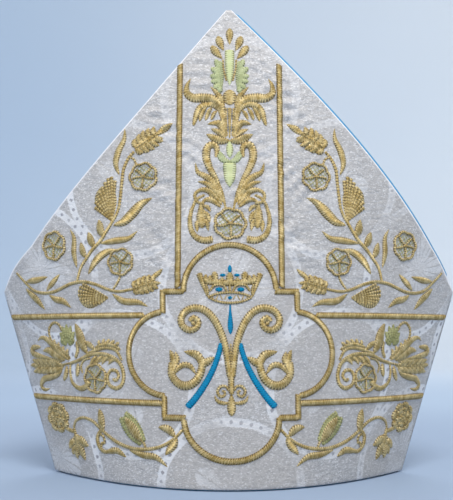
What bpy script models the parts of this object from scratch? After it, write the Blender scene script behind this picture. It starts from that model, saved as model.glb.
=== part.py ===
"""Bishop's mitre in stiffened brocade with raised gold braid. Metres, +Z up.

The mitre stands on its rim. The origin is the centre of the rim, and the front faces -Y.
A place on a panel is given as on the flat cloth: "across" is the distance along the cloth
from the centre line, positive towards +X, and "height" is the height above the rim.
"""
import math

import bmesh
import bpy
from mathutils import Vector

MM = 0.001

# Panels: in plan each one is a parabola from side seam to side seam
RIM_HALF_WIDTH = 123.5 * MM
RIM_HALF_DEPTH = 73.0 * MM
SIDE_FLARE = 0.3227           # half width gained per height
LEAN = 0.045                  # half depth lost per height
LEAN_GAIN = 0.1               # further half depth lost per height squared
SEAM_TOP = 128.0 * MM         # the side seams end here and the two horns part
PEAK = 323.5 * MM
PEAK_REACH = 2.0 * MM         # half width of the blunt peak
EDGE_BOW = {-1: -7.3 * MM, 1: 2.7 * MM}      # hollow left edge and full right edge
CORNER_FULLNESS = {-1: 4.0 * MM, 1: 1.0 * MM}
CORNER_SHARE = 0.16           # share of the horn's height that the rounded corner takes
WALL = 2.2 * MM
GAP = 0.3 * MM                # between neighbouring pieces
LINING_DROP = 0.8 * MM        # the lining shows this far below the panels
PANEL_COLUMNS = 20
LOWER_ROWS = 4
HORN_ROWS = 10

# Lining of the head opening and the soft valley between the horns
LINING_WALL = 1.0 * MM
LINING_CLEARANCE = 0.5 * MM
GUSSET_WALL = 1.0 * MM
GUSSET_CLEARANCE = 0.7 * MM   # to the panels' inner faces, which are faceted
GUSSET_LIP = {-1: -0.8 * MM, 1: 1.3 * MM}    # how far it shows past each slanted edge
GUSSET_START = 13.0 * MM      # the valley begins this far above the seams' top
VALLEY_LIFT = 4.0 * MM
VALLEY_RISE = 25.0 * MM       # the valley's middle lies this much higher than its ends
VALLEY_SPREAD = 0.6           # how quickly the cloth leaves the middle of the valley
VALLEY_DEPTH = 1.9            # how flat the bottom of the valley is
GUSSET_COLUMNS = 16
GUSSET_ROWS = 14

# Braid and cord that lie on the panels
BRAID_WIDTH = 3.4 * MM
BRAID_RISE = 1.5 * MM
ORNAMENT_SHIFT = 2.4 * MM     # the embroidery's middle line at the rim
ORNAMENT_LEAN = 0.014         # how much of that shift is lost per height
ORNAMENT_LEAN_TOP = 130.0 * MM               # above this the middle line stands upright
UPRIGHT_ACROSS = 34.2 * MM
UPRIGHT_FOOT = 127.2 * MM
UPRIGHT_TOP = 283.0 * MM
UPPER_BAND_HEIGHT = 109.7 * MM
LOWER_BAND_HEIGHT = 53.4 * MM
UPPER_BAND_START = 60.0 * MM
LOWER_BAND_START = 45.7 * MM
BAND_END_MARGIN = 1.6 * MM    # from the band's end to the side seam

# Quatrefoil frame: four lobes joined by square steps
TOP_LOBE = {"centre": 125.0 * MM, "half_width": 30.4 * MM, "rise": 30.5 * MM}
SIDE_LOBE = {"across": 41.5 * MM, "centre": 85.0 * MM, "radius": 27.0 * MM}
FOOT_LOBE = {"centre": 44.5 * MM, "half_width": 30.5 * MM, "drop": 26.3 * MM}
STEP_ACROSS = {"upper": 44.3 * MM, "lower": 43.5 * MM}
LOBE_STEPS = 9

# Two tails at the back
LAPPET_ACROSS = 32.0 * MM
LAPPET_WIDTH = {"sewn": 46.0 * MM, "end": 56.0 * MM}
LAPPET_WALL = 1.6 * MM
LAPPET_TOP = 15.5 * MM
LAPPET_BEND = 8.0 * MM
LAPPET_LENGTH = 320.0 * MM
LAPPET_EDGE = 4.0 * MM        # from the cloth's edge to the middle of its braid
LAPPET_BRAID_WIDTH = 2.8 * MM
LAPPET_BRAID_RISE = 1.2 * MM
FRINGE_LENGTH = 26.0 * MM
FRINGE_HEAD = 5.0 * MM
FRINGE_THICKNESS = 1.4 * MM
FRINGE_LOCKS = 14
FRINGE_NOTCH = 0.28           # share of a lock's pitch that is open

FRONT = -1
BACK = 1
SIDE_NAMES = {FRONT: "front", BACK: "back"}
HAND_NAMES = {-1: "left", 1: "right"}

# Round padded flowers on one half of a panel, in mm on the flat cloth
FLOWERS = (
    # name, across, height, radius across, radius up
    ("wheel_upper", 58.7, 203.0, 10.3, 10.3),
    ("wheel_side", 127.2, 158.5, 10.2, 10.6),
    ("wheel_low", 74.2, 145.3, 9.6, 9.6),
    ("wheel_band", 95.4, 68.0, 9.8, 10.2),
    ("rose", 135.8, 39.8, 12.2, 10.3),
)
MIDDLE_WHEEL = ("wheel_middle", 0.3, 169.8, 11.2, 11.0)
PAD_SIDES = 12
PAD_RISE = 1.6 * MM

# Crown above the ornament, in mm: a row for each point and dip from left to right
CROWN_RISE = 1.3 * MM
CROWN_COLUMNS = (
    # across, lower edge, upper edge
    (-19.8, 134.6, 137.0),
    (-17.2, 127.5, 135.4),
    (-13.8, 121.6, 131.8),
    (-9.6, 119.6, 136.2),
    (-5.0, 118.3, 132.2),
    (0.0, 117.6, 142.0),
    (5.0, 118.3, 132.2),
    (9.6, 119.6, 136.2),
    (13.8, 121.6, 131.8),
    (17.2, 127.5, 135.4),
    (19.8, 134.6, 137.0),
)

# Stem with a lily foot in the medallion and padded plant at the top of the horn, in mm
LILY_RISE = 1.4 * MM
LILY_ROWS = (
    # height, half width
    (46.4, 0.8),
    (47.8, 2.2),
    (52.4, 2.6),
    (54.0, 6.2),
    (55.8, 8.6),
    (58.2, 9.0),
    (60.4, 8.4),
    (63.4, 7.6),
    (64.8, 5.2),
    (66.4, 2.1),
    (74.0, 2.0),
    (81.8, 2.0),
)
PLANT_RISE = 1.3 * MM
PLANT_ROWS = (
    # height, half width
    (227.5, 2.5),
    (229.5, 11.5),
    (233.0, 6.5),
    (248.0, 6.5),
    (253.0, 5.0),
    (256.0, 9.0),
    (262.0, 7.5),
    (264.0, 11.0),
    (274.0, 12.5),
    (280.0, 9.5),
    (288.0, 4.5),
    (295.0, 11.5),
    (297.5, 6.0),
    (302.5, 7.5),
    (304.5, 2.6),
    (308.5, 0.6),
)

# Scrolls that rise from the stem and ribbons beside it, in mm: smooth through these points
# on the right half
SCROLL_WIDTH = 4.0 * MM
SCROLL_RISE = 1.7 * MM
SCROLL_POINTS = (
    # across, height
    (26.4, 105.2), (23.8, 107.8), (20.7, 105.2), (22.2, 101.4), (26.6, 100.0),
    (30.9, 102.6), (32.0, 107.4), (28.8, 112.2), (22.6, 114.2), (16.4, 112.6),
    (11.4, 108.0), (7.6, 101.6), (4.8, 94.4), (3.0, 87.2), (2.7, 82.6),
)
RIBBON_WIDTH = 4.2 * MM
RIBBON_RISE = 1.3 * MM
RIBBON_POINTS = (
    # across, height
    (7.9, 86.4), (9.4, 80.4), (11.9, 74.0), (15.4, 67.2), (19.6, 60.8), (24.0, 55.2),
    (28.2, 51.2),
)
SMOOTH_STEPS = 2              # pieces of cord between two of the points above


def rgb(red, green, blue):
    return (red, green, blue, 1.0)


# name: colour, roughness, metallic
FINISHES = {
    "brocade": (rgb(0.62, 0.60, 0.66), 0.42, 0.25),
    "gold_thread": (rgb(0.58, 0.40, 0.14), 0.38, 0.55),
    "blue_satin": (rgb(0.0, 0.27, 0.50), 0.35, 0.0),
    "blue_lining": (rgb(0.05, 0.38, 0.66), 0.55, 0.0),
}


# ---- the panel's surface -------------------------------------------------------------

def half_depth(height):
    return RIM_HALF_DEPTH - LEAN * height - LEAN_GAIN * height * height


def half_width(height):
    return RIM_HALF_WIDTH + SIDE_FLARE * height


def bow(height):
    """Curvature of the panel's plan: y = bow * x * x - half depth."""
    return half_depth(height) / half_width(height) ** 2


def arc_length(x, height):
    """Length along the cloth from the centre line to x."""
    slope = 2 * bow(height)
    return x / 2 * math.sqrt(1 + (slope * x) ** 2) + math.asinh(slope * x) / (2 * slope)


def plan_x(across, height):
    """The x at which the cloth has run this far from the centre line."""
    slope = 2 * bow(height)
    x = across
    for _ in range(8):
        x -= (arc_length(x, height) - across) / math.sqrt(1 + (slope * x) ** 2)
    return x


def panel_point(across, height, lift=0.0, side=FRONT):
    """A place on a panel's outer face, raised by lift towards the outside."""
    x = plan_x(across, height)
    slope = 2 * bow(height) * x
    stretch = math.sqrt(1 + slope * slope)
    depth = half_depth(height) - bow(height) * x * x
    return Vector((x + lift * slope / stretch, side * (depth + lift / stretch), height))


def seam_point(hand, height, inset, parting=0.0, side=FRONT):
    """The end of a wall at the side seam, where it lies inset from the outer face."""
    slope = 2 * bow(height) * half_width(height)
    x = half_width(height) - inset * math.sqrt(1 + slope * slope) / slope
    return Vector((hand * x, side * parting, height))


def seam_reach(height):
    return arc_length(half_width(height), height)


def edge_reach(hand, height):
    """From the centre line along the cloth to the panel's edge."""
    if height <= SEAM_TOP:
        return seam_reach(height)
    share = (height - SEAM_TOP) / (PEAK - SEAM_TOP)
    reach = seam_reach(SEAM_TOP) * (1 - share) + PEAK_REACH * share
    reach += EDGE_BOW[hand] * math.sin(math.pi * share)
    if share < CORNER_SHARE:
        reach += CORNER_FULLNESS[hand] * math.sin(math.pi * share / CORNER_SHARE)
    return reach


def columns():
    """Shares of the reach at which the walls have their columns, from left to right."""
    return [2 * column / PANEL_COLUMNS - 1 for column in range(PANEL_COLUMNS + 1)]


def ornament_across(across, height):
    """Shift a place of the embroidery on to its middle line, which leans a little."""
    return across + ORNAMENT_SHIFT - ORNAMENT_LEAN * min(height, ORNAMENT_LEAN_TOP)


# ---- mesh helpers --------------------------------------------------------------------

def clear_scene():
    for thing in list(bpy.data.objects):
        bpy.data.objects.remove(thing, do_unlink=True)


def make_materials():
    made = {}
    for name, (colour, roughness, metallic) in FINISHES.items():
        material = bpy.data.materials.new(name)
        material.use_nodes = True
        shader = material.node_tree.nodes["Principled BSDF"]
        shader.inputs["Base Color"].default_value = colour
        shader.inputs["Roughness"].default_value = roughness
        shader.inputs["Metallic"].default_value = metallic
        material.diffuse_color = colour
        made[name] = material
    return made


def add_piece(name, data, finish):
    """Make the sub-part's object in the mitre's collection."""
    piece = bpy.data.objects.new(name, data)
    piece.data.materials.append(MATERIALS[finish])
    COLLECTION.objects.link(piece)
    return piece


def loft_mesh(name, rings, closed=False):
    """Skin between rings with the same number of points, with flat ends if not closed."""
    mesh = bmesh.new()
    loops = [[mesh.verts.new(point) for point in ring] for ring in rings]
    pairs = list(zip(loops, loops[1:]))
    if closed:
        pairs.append((loops[-1], loops[0]))
    for lower, upper in pairs:
        for here, there in zip(range(len(lower)), list(range(1, len(lower))) + [0]):
            mesh.faces.new((lower[here], lower[there], upper[there], upper[here]))
    if not closed:
        close_end(mesh, loops[0])
        close_end(mesh, loops[-1])
    bmesh.ops.recalc_face_normals(mesh, faces=mesh.faces)
    data = bpy.data.meshes.new(name)
    mesh.to_mesh(data)
    mesh.free()
    return data


def close_end(mesh, loop):
    """Close a ring with a strip across it, from its first and last points inwards."""
    low, high = 0, len(loop) - 1
    while high - low > 2:
        mesh.faces.new((loop[low], loop[low + 1], loop[high - 1], loop[high]))
        low += 1
        high -= 1
    if high - low == 2:
        mesh.faces.new((loop[low], loop[low + 1], loop[high]))


def sheet_piece(name, rows, thickness, offset, finish):
    """An open sheet through rows of points, given its wall by Solidify."""
    mesh = bmesh.new()
    lines = [[mesh.verts.new(point) for point in row] for row in rows]
    for lower, upper in zip(lines, lines[1:]):
        for here in range(len(lower) - 1):
            mesh.faces.new((lower[here], lower[here + 1], upper[here + 1], upper[here]))
    data = bpy.data.meshes.new(name)
    mesh.to_mesh(data)
    mesh.free()
    piece = add_piece(name, data, finish)
    wall = piece.modifiers.new("wall", "SOLIDIFY")
    wall.thickness = thickness
    wall.offset = offset
    wall.use_even_offset = True
    return piece


def smooth_path(points, steps=SMOOTH_STEPS):
    """Points along a Catmull-Rom curve through the given points, in metres."""
    fixed = [Vector(point) * MM for point in points]
    ends = [2 * fixed[0] - fixed[1]] + fixed + [2 * fixed[-1] - fixed[-2]]
    path = []
    for before, start, stop, after in zip(ends, ends[1:], ends[2:], ends[3:]):
        for step in range(steps):
            share = step / steps
            path.append(0.5 * (
                2 * start
                + (stop - before) * share
                + (2 * before - 5 * start + 4 * stop - after) * share ** 2
                + (3 * start - before - 3 * stop + after) * share ** 3
            ))
    path.append(fixed[-1])
    return path


def cord_rings(surface, path, width, rise, closed=False):
    """Sections of a cord that lies on a surface: a flat foot under a rounded back."""
    section = ((-0.5, 0.0), (-0.4, 0.75), (0.0, 1.0), (0.4, 0.75), (0.5, 0.0))
    rings = []
    last = len(path) - 1
    for index, place in enumerate(path):
        before = path[index - 1] if index or closed else place
        after = path[(index + 1) % len(path)] if index < last or closed else place
        incoming = (place - before).normalized() if before != place else None
        outgoing = (after - place).normalized() if after != place else None
        along = ((incoming or outgoing) + (outgoing or incoming)).normalized()
        mitre = 1 / max(0.5, along.dot(outgoing or incoming))
        aside = Vector((-along.y, along.x)) * width * mitre
        rings.append([
            surface(*(place + aside * sideways), GAP + rise * upwards)
            for sideways, upwards in section
        ])
    return rings


# ---- panels, lining and gusset ------------------------------------------------------

def wall_section(height, side):
    """One level of a panel: the outer face from left to right, then the inner face back."""
    outer = []
    inner = []
    for share in columns():
        hand = -1 if share < 0 else 1
        at_seam = abs(share) == 1 and height <= SEAM_TOP
        if at_seam:
            outer.append(seam_point(hand, height, 0.0, GAP / 2, side))
            inner.append(seam_point(hand, height, WALL, GAP / 2, side))
        else:
            across = share * edge_reach(hand, height)
            outer.append(panel_point(across, height, 0.0, side))
            inner.append(panel_point(across, height, -WALL, side))
    return outer + inner[::-1]


def panel_levels():
    lower = [
        LINING_DROP + (SEAM_TOP - LINING_DROP) * row / LOWER_ROWS
        for row in range(LOWER_ROWS + 1)
    ]
    step = (PEAK - SEAM_TOP) / HORN_ROWS
    return lower + [SEAM_TOP + step * (row + 1) for row in range(HORN_ROWS)]


def make_panel(side):
    name = SIDE_NAMES[side] + "_panel"
    rings = [wall_section(height, side) for height in panel_levels()]
    add_piece(name, loft_mesh(name, rings), "brocade")


def lining_ring(height, inset):
    """A closed lens-shaped loop inside both panels."""
    reach = seam_reach(height)
    shares = columns()[1:-1]
    front = [panel_point(share * reach, height, -inset, FRONT) for share in shares]
    back = [panel_point(share * reach, height, -inset, BACK) for share in shares]
    left = seam_point(-1, height, inset)
    right = seam_point(1, height, inset)
    return [left] + front + [right] + back[::-1]


def make_head_lining():
    levels = [0.0] + panel_levels()[1:LOWER_ROWS + 1]
    inset = WALL + LINING_CLEARANCE
    outside = [lining_ring(height, inset) for height in levels]
    inside = [lining_ring(height, inset + LINING_WALL) for height in levels]
    data = loft_mesh("head_lining", outside + inside[::-1], closed=True)
    add_piece("head_lining", data, "blue_lining")


def valley_height(x):
    ends = half_width(SEAM_TOP)
    return SEAM_TOP + VALLEY_LIFT + VALLEY_RISE * (1 - (x / ends) ** 2)


def inner_depth(x, height, inset):
    """Half depth at x of a face that lies inset from the panels' outer faces."""
    slope = 2 * bow(height) * x
    return half_depth(height) - bow(height) * x * x - inset * math.sqrt(1 + slope * slope)


def gusset_row(hand, share):
    """A cut across the valley, from the front horn's edge to the back horn's."""
    first = SEAM_TOP + GUSSET_START
    edge_height = first + (PEAK - first) * (1 - share)
    reach = edge_reach(hand, edge_height) + GUSSET_LIP[hand]
    x = plan_x(hand * reach, edge_height) if share else 0.0
    floor = valley_height(x)
    row = []
    for step in range(GUSSET_ROWS + 1):
        place = 2 * step / GUSSET_ROWS - 1
        height = floor + (edge_height - floor) * abs(place) ** VALLEY_DEPTH
        depth = inner_depth(x, height, WALL + GUSSET_CLEARANCE)
        y = math.copysign(depth * abs(place) ** VALLEY_SPREAD, place)
        row.append(Vector((x, y, height)))
    return row


def make_crown_gusset():
    half = GUSSET_COLUMNS // 2
    rows = [gusset_row(-1, 1 - step / half) for step in range(half)]
    rows += [gusset_row(1, step / half) for step in range(half + 1)]
    sheet_piece("crown_gusset", rows, GUSSET_WALL, -1.0, "blue_lining")


# ---- braid and medallion -------------------------------------------------------------

def ornament_surface(side):
    """The panel's face in the embroidery's own places."""
    def surface(across, height, lift):
        return panel_point(ornament_across(across, height), height, lift, side)
    return surface


def make_cord(name, side, path, width, rise, finish, closed=False):
    rings = cord_rings(ornament_surface(side), path, width, rise, closed)
    add_piece(name, loft_mesh(name, rings, closed), finish)


def straight_path(start, stop, pieces):
    start = Vector(start)
    stop = Vector(stop)
    return [start.lerp(stop, step / pieces) for step in range(pieces + 1)]


def make_braids(side):
    for hand in (-1, 1):
        ending = "_" + HAND_NAMES[hand]
        upright = straight_path(
            (hand * UPRIGHT_ACROSS, UPRIGHT_FOOT), (hand * UPRIGHT_ACROSS, UPRIGHT_TOP), 8)
        name = SIDE_NAMES[side] + "_upright_braid" + ending
        make_cord(name, side, upright, BRAID_WIDTH, BRAID_RISE, "gold_thread")
        for band, height, start in (
            ("_upper_band", UPPER_BAND_HEIGHT, UPPER_BAND_START),
            ("_lower_band", LOWER_BAND_HEIGHT, LOWER_BAND_START),
        ):
            shift = ornament_across(0.0, height)
            stop = hand * (seam_reach(height) - BAND_END_MARGIN) - shift
            path = straight_path((hand * start, height), (stop, height), 11)
            name = SIDE_NAMES[side] + band + ending
            make_cord(name, side, path, BRAID_WIDTH, BRAID_RISE, "gold_thread")


def frame_path():
    """The quatrefoil from the top of its left step, clockwise, once round."""
    path = []
    for step in range(LOBE_STEPS + 1):
        angle = math.pi * (1 - step / LOBE_STEPS)
        path.append(Vector((TOP_LOBE["half_width"] * math.cos(angle),
                            TOP_LOBE["centre"] + TOP_LOBE["rise"] * math.sin(angle))))
    path += side_lobe(1)
    for step in range(LOBE_STEPS + 1):
        angle = math.pi * step / LOBE_STEPS
        path.append(Vector((FOOT_LOBE["half_width"] * math.cos(angle),
                            FOOT_LOBE["centre"] - FOOT_LOBE["drop"] * math.sin(angle))))
    path += side_lobe(-1)[::-1]
    return path


def side_lobe(hand):
    """Upper step, round lobe and lower step of one side, from top to bottom."""
    upper = STEP_ACROSS["upper"]
    lower = STEP_ACROSS["lower"]
    radius = SIDE_LOBE["radius"]
    start = math.acos((upper - SIDE_LOBE["across"]) / radius)
    stop = -math.acos((lower - SIDE_LOBE["across"]) / radius)
    path = [Vector((hand * upper, TOP_LOBE["centre"]))]
    for step in range(LOBE_STEPS + 1):
        angle = start + (stop - start) * step / LOBE_STEPS
        path.append(Vector((hand * (SIDE_LOBE["across"] + radius * math.cos(angle)),
                            SIDE_LOBE["centre"] + radius * math.sin(angle))))
    path.append(Vector((hand * lower, FOOT_LOBE["centre"])))
    return path


def make_frame(side):
    name = SIDE_NAMES[side] + "_medallion_frame"
    make_cord(name, side, frame_path(), BRAID_WIDTH, BRAID_RISE, "gold_thread", closed=True)


def make_relief(name, side, lines, rise, finish):
    """A flat raised piece between pairs of places, a pair for each row or column."""
    surface = ornament_surface(side)
    rings = []
    for first, second in lines:
        rings.append([
            surface(first[0] * MM, first[1] * MM, GAP),
            surface(first[0] * MM, first[1] * MM, GAP + rise),
            surface(second[0] * MM, second[1] * MM, GAP + rise),
            surface(second[0] * MM, second[1] * MM, GAP),
        ])
    add_piece(name, loft_mesh(name, rings), finish)


def make_medallion(side):
    start = SIDE_NAMES[side]
    crown = [((across, low), (across, high)) for across, low, high in CROWN_COLUMNS]
    make_relief(start + "_crown", side, crown, CROWN_RISE, "gold_thread")
    lily = [((-half, height), (half, height)) for height, half in LILY_ROWS]
    make_relief(start + "_lily", side, lily, LILY_RISE, "gold_thread")
    plant = [((-half, height), (half, height)) for height, half in PLANT_ROWS]
    make_relief(start + "_plant", side, plant, PLANT_RISE, "gold_thread")
    for hand in (-1, 1):
        ending = "_" + HAND_NAMES[hand]
        scroll = smooth_path([(hand * across, height) for across, height in SCROLL_POINTS])
        make_cord(start + "_scroll" + ending, side, scroll, SCROLL_WIDTH, SCROLL_RISE,
                  "gold_thread")
        ribbon = smooth_path([(hand * across, height) for across, height in RIBBON_POINTS])
        make_cord(start + "_ribbon" + ending, side, ribbon, RIBBON_WIDTH, RIBBON_RISE,
                  "blue_satin")


def make_pad(name, side, across, height, radius_across, radius_up):
    """A round padded flower: a foot ring, a shoulder ring and a crowned middle."""
    surface = ornament_surface(side)
    mesh = bmesh.new()

    def ring(share, lift):
        verts = []
        for step in range(PAD_SIDES):
            angle = 2 * math.pi * step / PAD_SIDES
            verts.append(mesh.verts.new(surface(
                (across + share * radius_across * math.cos(angle)) * MM,
                (height + share * radius_up * math.sin(angle)) * MM, lift)))
        return verts

    foot = ring(1.0, GAP)
    shoulder = ring(0.92, GAP + PAD_RISE)
    under = mesh.verts.new(surface(across * MM, height * MM, GAP))
    middle = mesh.verts.new(surface(across * MM, height * MM, GAP + 0.8 * PAD_RISE))
    for here in range(PAD_SIDES):
        there = (here + 1) % PAD_SIDES
        mesh.faces.new((foot[here], foot[there], shoulder[there], shoulder[here]))
        mesh.faces.new((under, foot[there], foot[here]))
        mesh.faces.new((middle, shoulder[here], shoulder[there]))
    bmesh.ops.recalc_face_normals(mesh, faces=mesh.faces)
    data = bpy.data.meshes.new(name)
    mesh.to_mesh(data)
    mesh.free()
    add_piece(name, data, "gold_thread")


def make_flowers(side):
    start = SIDE_NAMES[side] + "_"
    make_pad(start + MIDDLE_WHEEL[0], side, *MIDDLE_WHEEL[1:])
    for name, across, height, radius_across, radius_up in FLOWERS:
        for hand in (-1, 1):
            make_pad(start + name + "_" + HAND_NAMES[hand], side, hand * across, height,
                     radius_across, radius_up)


# ---- the tails at the back -----------------------------------------------------------

def lappet_half_width(along):
    share = along / LAPPET_LENGTH
    return (LAPPET_WIDTH["sewn"] * (1 - share) + LAPPET_WIDTH["end"] * share) / 2


def lappet_profile(along):
    """Distance from the panel and height of the tail's middle, down the wall and away."""
    drop = LAPPET_TOP - LAPPET_WALL / 2 - LAPPET_BEND
    quarter = LAPPET_BEND * math.pi / 2
    if along < drop:
        return 0.0, LAPPET_TOP - along
    if along < drop + quarter:
        angle = (along - drop) / LAPPET_BEND
        return (LAPPET_BEND * (1 - math.cos(angle)),
                LAPPET_WALL / 2 + LAPPET_BEND * (1 - math.sin(angle)))
    return LAPPET_BEND + along - drop - quarter, LAPPET_WALL / 2


def lappet_direction(hand):
    """The tail runs straight away from the panel where it is sewn on."""
    foot = panel_point(hand * LAPPET_ACROSS, 0.0, 0.0, BACK)
    away = panel_point(hand * LAPPET_ACROSS, 0.0, 1.0, BACK) - foot
    return away.normalized()


def lappet_middle(hand, sideways, along):
    """The middle of the tail's cloth: curved with the panel above, flat on the ground."""
    out, height = lappet_profile(along)
    hug = max(0.0, 1 - out / (2 * LAPPET_BEND))
    away = lappet_direction(hand)
    beside = Vector((away.y, -away.x, 0.0))
    stand_off = GAP + LAPPET_WALL / 2
    centre = panel_point(hand * LAPPET_ACROSS, height, stand_off, BACK)
    curved = panel_point(hand * LAPPET_ACROSS + sideways, height, stand_off, BACK)
    return (centre + beside * sideways).lerp(curved, hug) + away * out


def lappet_surface(hand):
    """The tail's outer face, for the braid that lies on it."""
    probe = 0.5 * MM

    def surface(sideways, along, lift):
        middle = lappet_middle(hand, sideways, along)
        run = lappet_middle(hand, sideways, along + probe) - middle
        beside = lappet_middle(hand, sideways + probe, along) - middle
        outward = beside.cross(run).normalized()
        if outward.dot(lappet_direction(hand) + Vector((0, 0, 1))) < 0:
            outward = -outward
        return middle + outward * (lift + LAPPET_WALL / 2)
    return surface


def lappet_stations():
    """Places along the tail: close together round the bend, far apart on the ground."""
    drop = LAPPET_TOP - LAPPET_WALL / 2 - LAPPET_BEND
    quarter = LAPPET_BEND * math.pi / 2
    bend = [drop + quarter * step / 4 for step in range(5)]
    rest = LAPPET_LENGTH - bend[-1]
    return [0.0] + bend + [bend[-1] + rest * (step + 1) / 6 for step in range(6)]


def make_lappet(hand):
    name = "lappet_" + HAND_NAMES[hand]
    rows = []
    for along in lappet_stations():
        half = lappet_half_width(along)
        rows.append([lappet_middle(hand, half * (step - 2) / 2, along) for step in range(5)])
    sheet_piece(name, rows, LAPPET_WALL, 0.0, "brocade")
    make_lappet_braid(hand)
    make_fringe(hand)


def make_lappet_braid(hand):
    """One braid down the left edge, across the end and up the right edge."""
    name = "lappet_braid_" + HAND_NAMES[hand]
    stations = [max(along, LAPPET_EDGE) for along in lappet_stations()[:-1]]
    stations.append(LAPPET_LENGTH - LAPPET_EDGE)
    down = [Vector((-lappet_half_width(along) + LAPPET_EDGE, along)) for along in stations]
    up = [Vector((lappet_half_width(along) - LAPPET_EDGE, along)) for along in stations]
    path = down + up[::-1]
    rings = cord_rings(lappet_surface(hand), path, LAPPET_BRAID_WIDTH, LAPPET_BRAID_RISE)
    add_piece(name, loft_mesh(name, rings), "gold_thread")


def make_fringe(hand):
    """Locks cut from one flat strip, joined at its head, lying beyond the tail's end."""
    width = LAPPET_WIDTH["end"]
    pitch = width / FRINGE_LOCKS
    outline = [(-width / 2, 0.0), (width / 2, 0.0)]
    for lock in range(FRINGE_LOCKS):
        right = width / 2 - lock * pitch
        inner = FRINGE_NOTCH * pitch / 2
        outline += [(right - inner, FRINGE_HEAD), (right - inner, FRINGE_LENGTH),
                    (right - pitch + inner, FRINGE_LENGTH), (right - pitch + inner, FRINGE_HEAD)]
    name = "fringe_" + HAND_NAMES[hand]
    flat = bpy.data.curves.new(name, "CURVE")
    flat.dimensions = "2D"
    flat.fill_mode = "BOTH"
    flat.extrude = FRINGE_THICKNESS / 2
    line = flat.splines.new("POLY")
    line.points.add(len(outline) - 1)
    for point, (x, y) in zip(line.points, outline):
        point.co = (x, y, 0.0, 1.0)
    line.use_cyclic_u = True
    fringe = add_piece(name, flat, "gold_thread")
    away = lappet_direction(hand)
    end = lappet_middle(hand, 0.0, LAPPET_LENGTH)
    fringe.location = end + away * GAP
    fringe.rotation_euler.z = math.atan2(away.y, away.x) - math.pi / 2


clear_scene()
MATERIALS = make_materials()
COLLECTION = bpy.data.collections.new("bishop_mitre")
bpy.context.scene.collection.children.link(COLLECTION)
for panel_side in (FRONT, BACK):
    make_panel(panel_side)
    make_braids(panel_side)
    make_frame(panel_side)
    make_medallion(panel_side)
    make_flowers(panel_side)
make_head_lining()
make_crown_gusset()
for tail_hand in (-1, 1):
    make_lappet(tail_hand)
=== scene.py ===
"""A bishop's mitre in silver-white damask with raised gold embroidery.

The embroidery is drawn flat, in millimetres on the cloth: across from its middle line, height
above the rim, and lift off the cloth. Each flat pattern is then laid on the bowed panels.
"""
import math

import bpy
import numpy as np
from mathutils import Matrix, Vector


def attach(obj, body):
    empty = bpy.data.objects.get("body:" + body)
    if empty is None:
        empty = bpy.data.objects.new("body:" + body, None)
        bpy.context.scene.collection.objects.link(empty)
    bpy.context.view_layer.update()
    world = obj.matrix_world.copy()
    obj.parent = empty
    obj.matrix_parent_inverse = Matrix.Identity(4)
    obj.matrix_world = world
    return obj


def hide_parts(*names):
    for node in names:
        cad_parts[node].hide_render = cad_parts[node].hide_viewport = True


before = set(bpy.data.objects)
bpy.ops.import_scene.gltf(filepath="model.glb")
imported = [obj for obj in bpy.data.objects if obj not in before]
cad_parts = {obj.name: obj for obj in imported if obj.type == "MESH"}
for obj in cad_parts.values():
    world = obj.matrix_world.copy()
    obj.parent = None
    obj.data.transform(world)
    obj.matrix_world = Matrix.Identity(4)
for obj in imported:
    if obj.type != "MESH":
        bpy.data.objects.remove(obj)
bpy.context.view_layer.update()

MM = 0.001
FRONT = -1
BACK = 1
SIDE_NAMES = {FRONT: "front", BACK: "back"}
HAND_NAMES = {-1: "left", 1: "right"}

# The panels, in mm: each is a parabola in plan
RIM_HALF_WIDTH = 123.5
RIM_HALF_DEPTH = 73.0
SIDE_FLARE = 0.3227           # half width gained for each mm of height
LEAN = 0.045                  # half depth lost for each mm of height
LEAN_GAIN = 0.0001            # and this much more for each mm squared
SEAM_TOP = 128.0              # the side seams end here and the two horns part
PEAK = 323.5
PEAK_REACH = 2.0              # half width of the blunt peak
EDGE_BOW = {-1: -7.3, 1: 2.7}           # the left edge is hollow and the right one full
CORNER_FULLNESS = {-1: 4.0, 1: 1.0}
CORNER_SHARE = 0.16           # share of the horn's height that the full corner takes
WALL = 2.2
GAP = 0.3                     # between neighbouring pieces
RIM_RISE = 0.8                # the panels' rim above the ground
ORNAMENT_SHIFT = 2.4          # how far right the embroidery's middle line stands at the rim
ORNAMENT_LEAN = 0.014         # how much of that is lost for each mm of height
ORNAMENT_LEAN_TOP = 130.0     # above this the middle line is upright
PANEL_COLUMNS = 150           # faces across the outer face of a panel
PANEL_ROWS = 176
CAP_STEPS = 4                 # faces round a panel's turned edge
RIM_LEVELS = (0.3, 1.1)       # the wall opens over these two levels above its rim
PEAK_LEVELS = (0.35, 1.2)     # and closes over these two below the peak
WALL_OPENING = 0.75           # how far it is open at the outer one of each two
LEVEL_SAMPLES = 400           # heights at which the panels' widths are measured
EDGE_ROUNDING = 9.0           # above the seams the cut edge rounds over within this height
HEM_START = SEAM_TOP - 6

# The lining and the valley between the horns, in mm
LINING_INSET = 2.7
LINING_WALL = 1.0
LINING_COLUMNS = 176
LINING_ROWS = 22              # up each of its two walls
GUSSET_INSET = 2.9
GUSSET_WALL = 1.0
GUSSET_LIP = {-1: -0.8, 1: 2.3}         # how far it reaches past each slanted edge
GUSSET_START = 13.0           # from the seams' top up to where the valley begins
GUSSET_COLUMNS = 128
GUSSET_ROWS = 96
VALLEY_LIFT = 4.0             # the valley's ends lie this far above the seams' top
VALLEY_RISE = 25.0            # and its middle this much higher than its ends
VALLEY_SPREAD = 0.6           # how soon the cloth leaves the bottom for the panels
VALLEY_DEPTH = 1.9            # how flat the bottom is
VALLEY_FOLD = 2.2             # how deep the loose folds are

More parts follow.
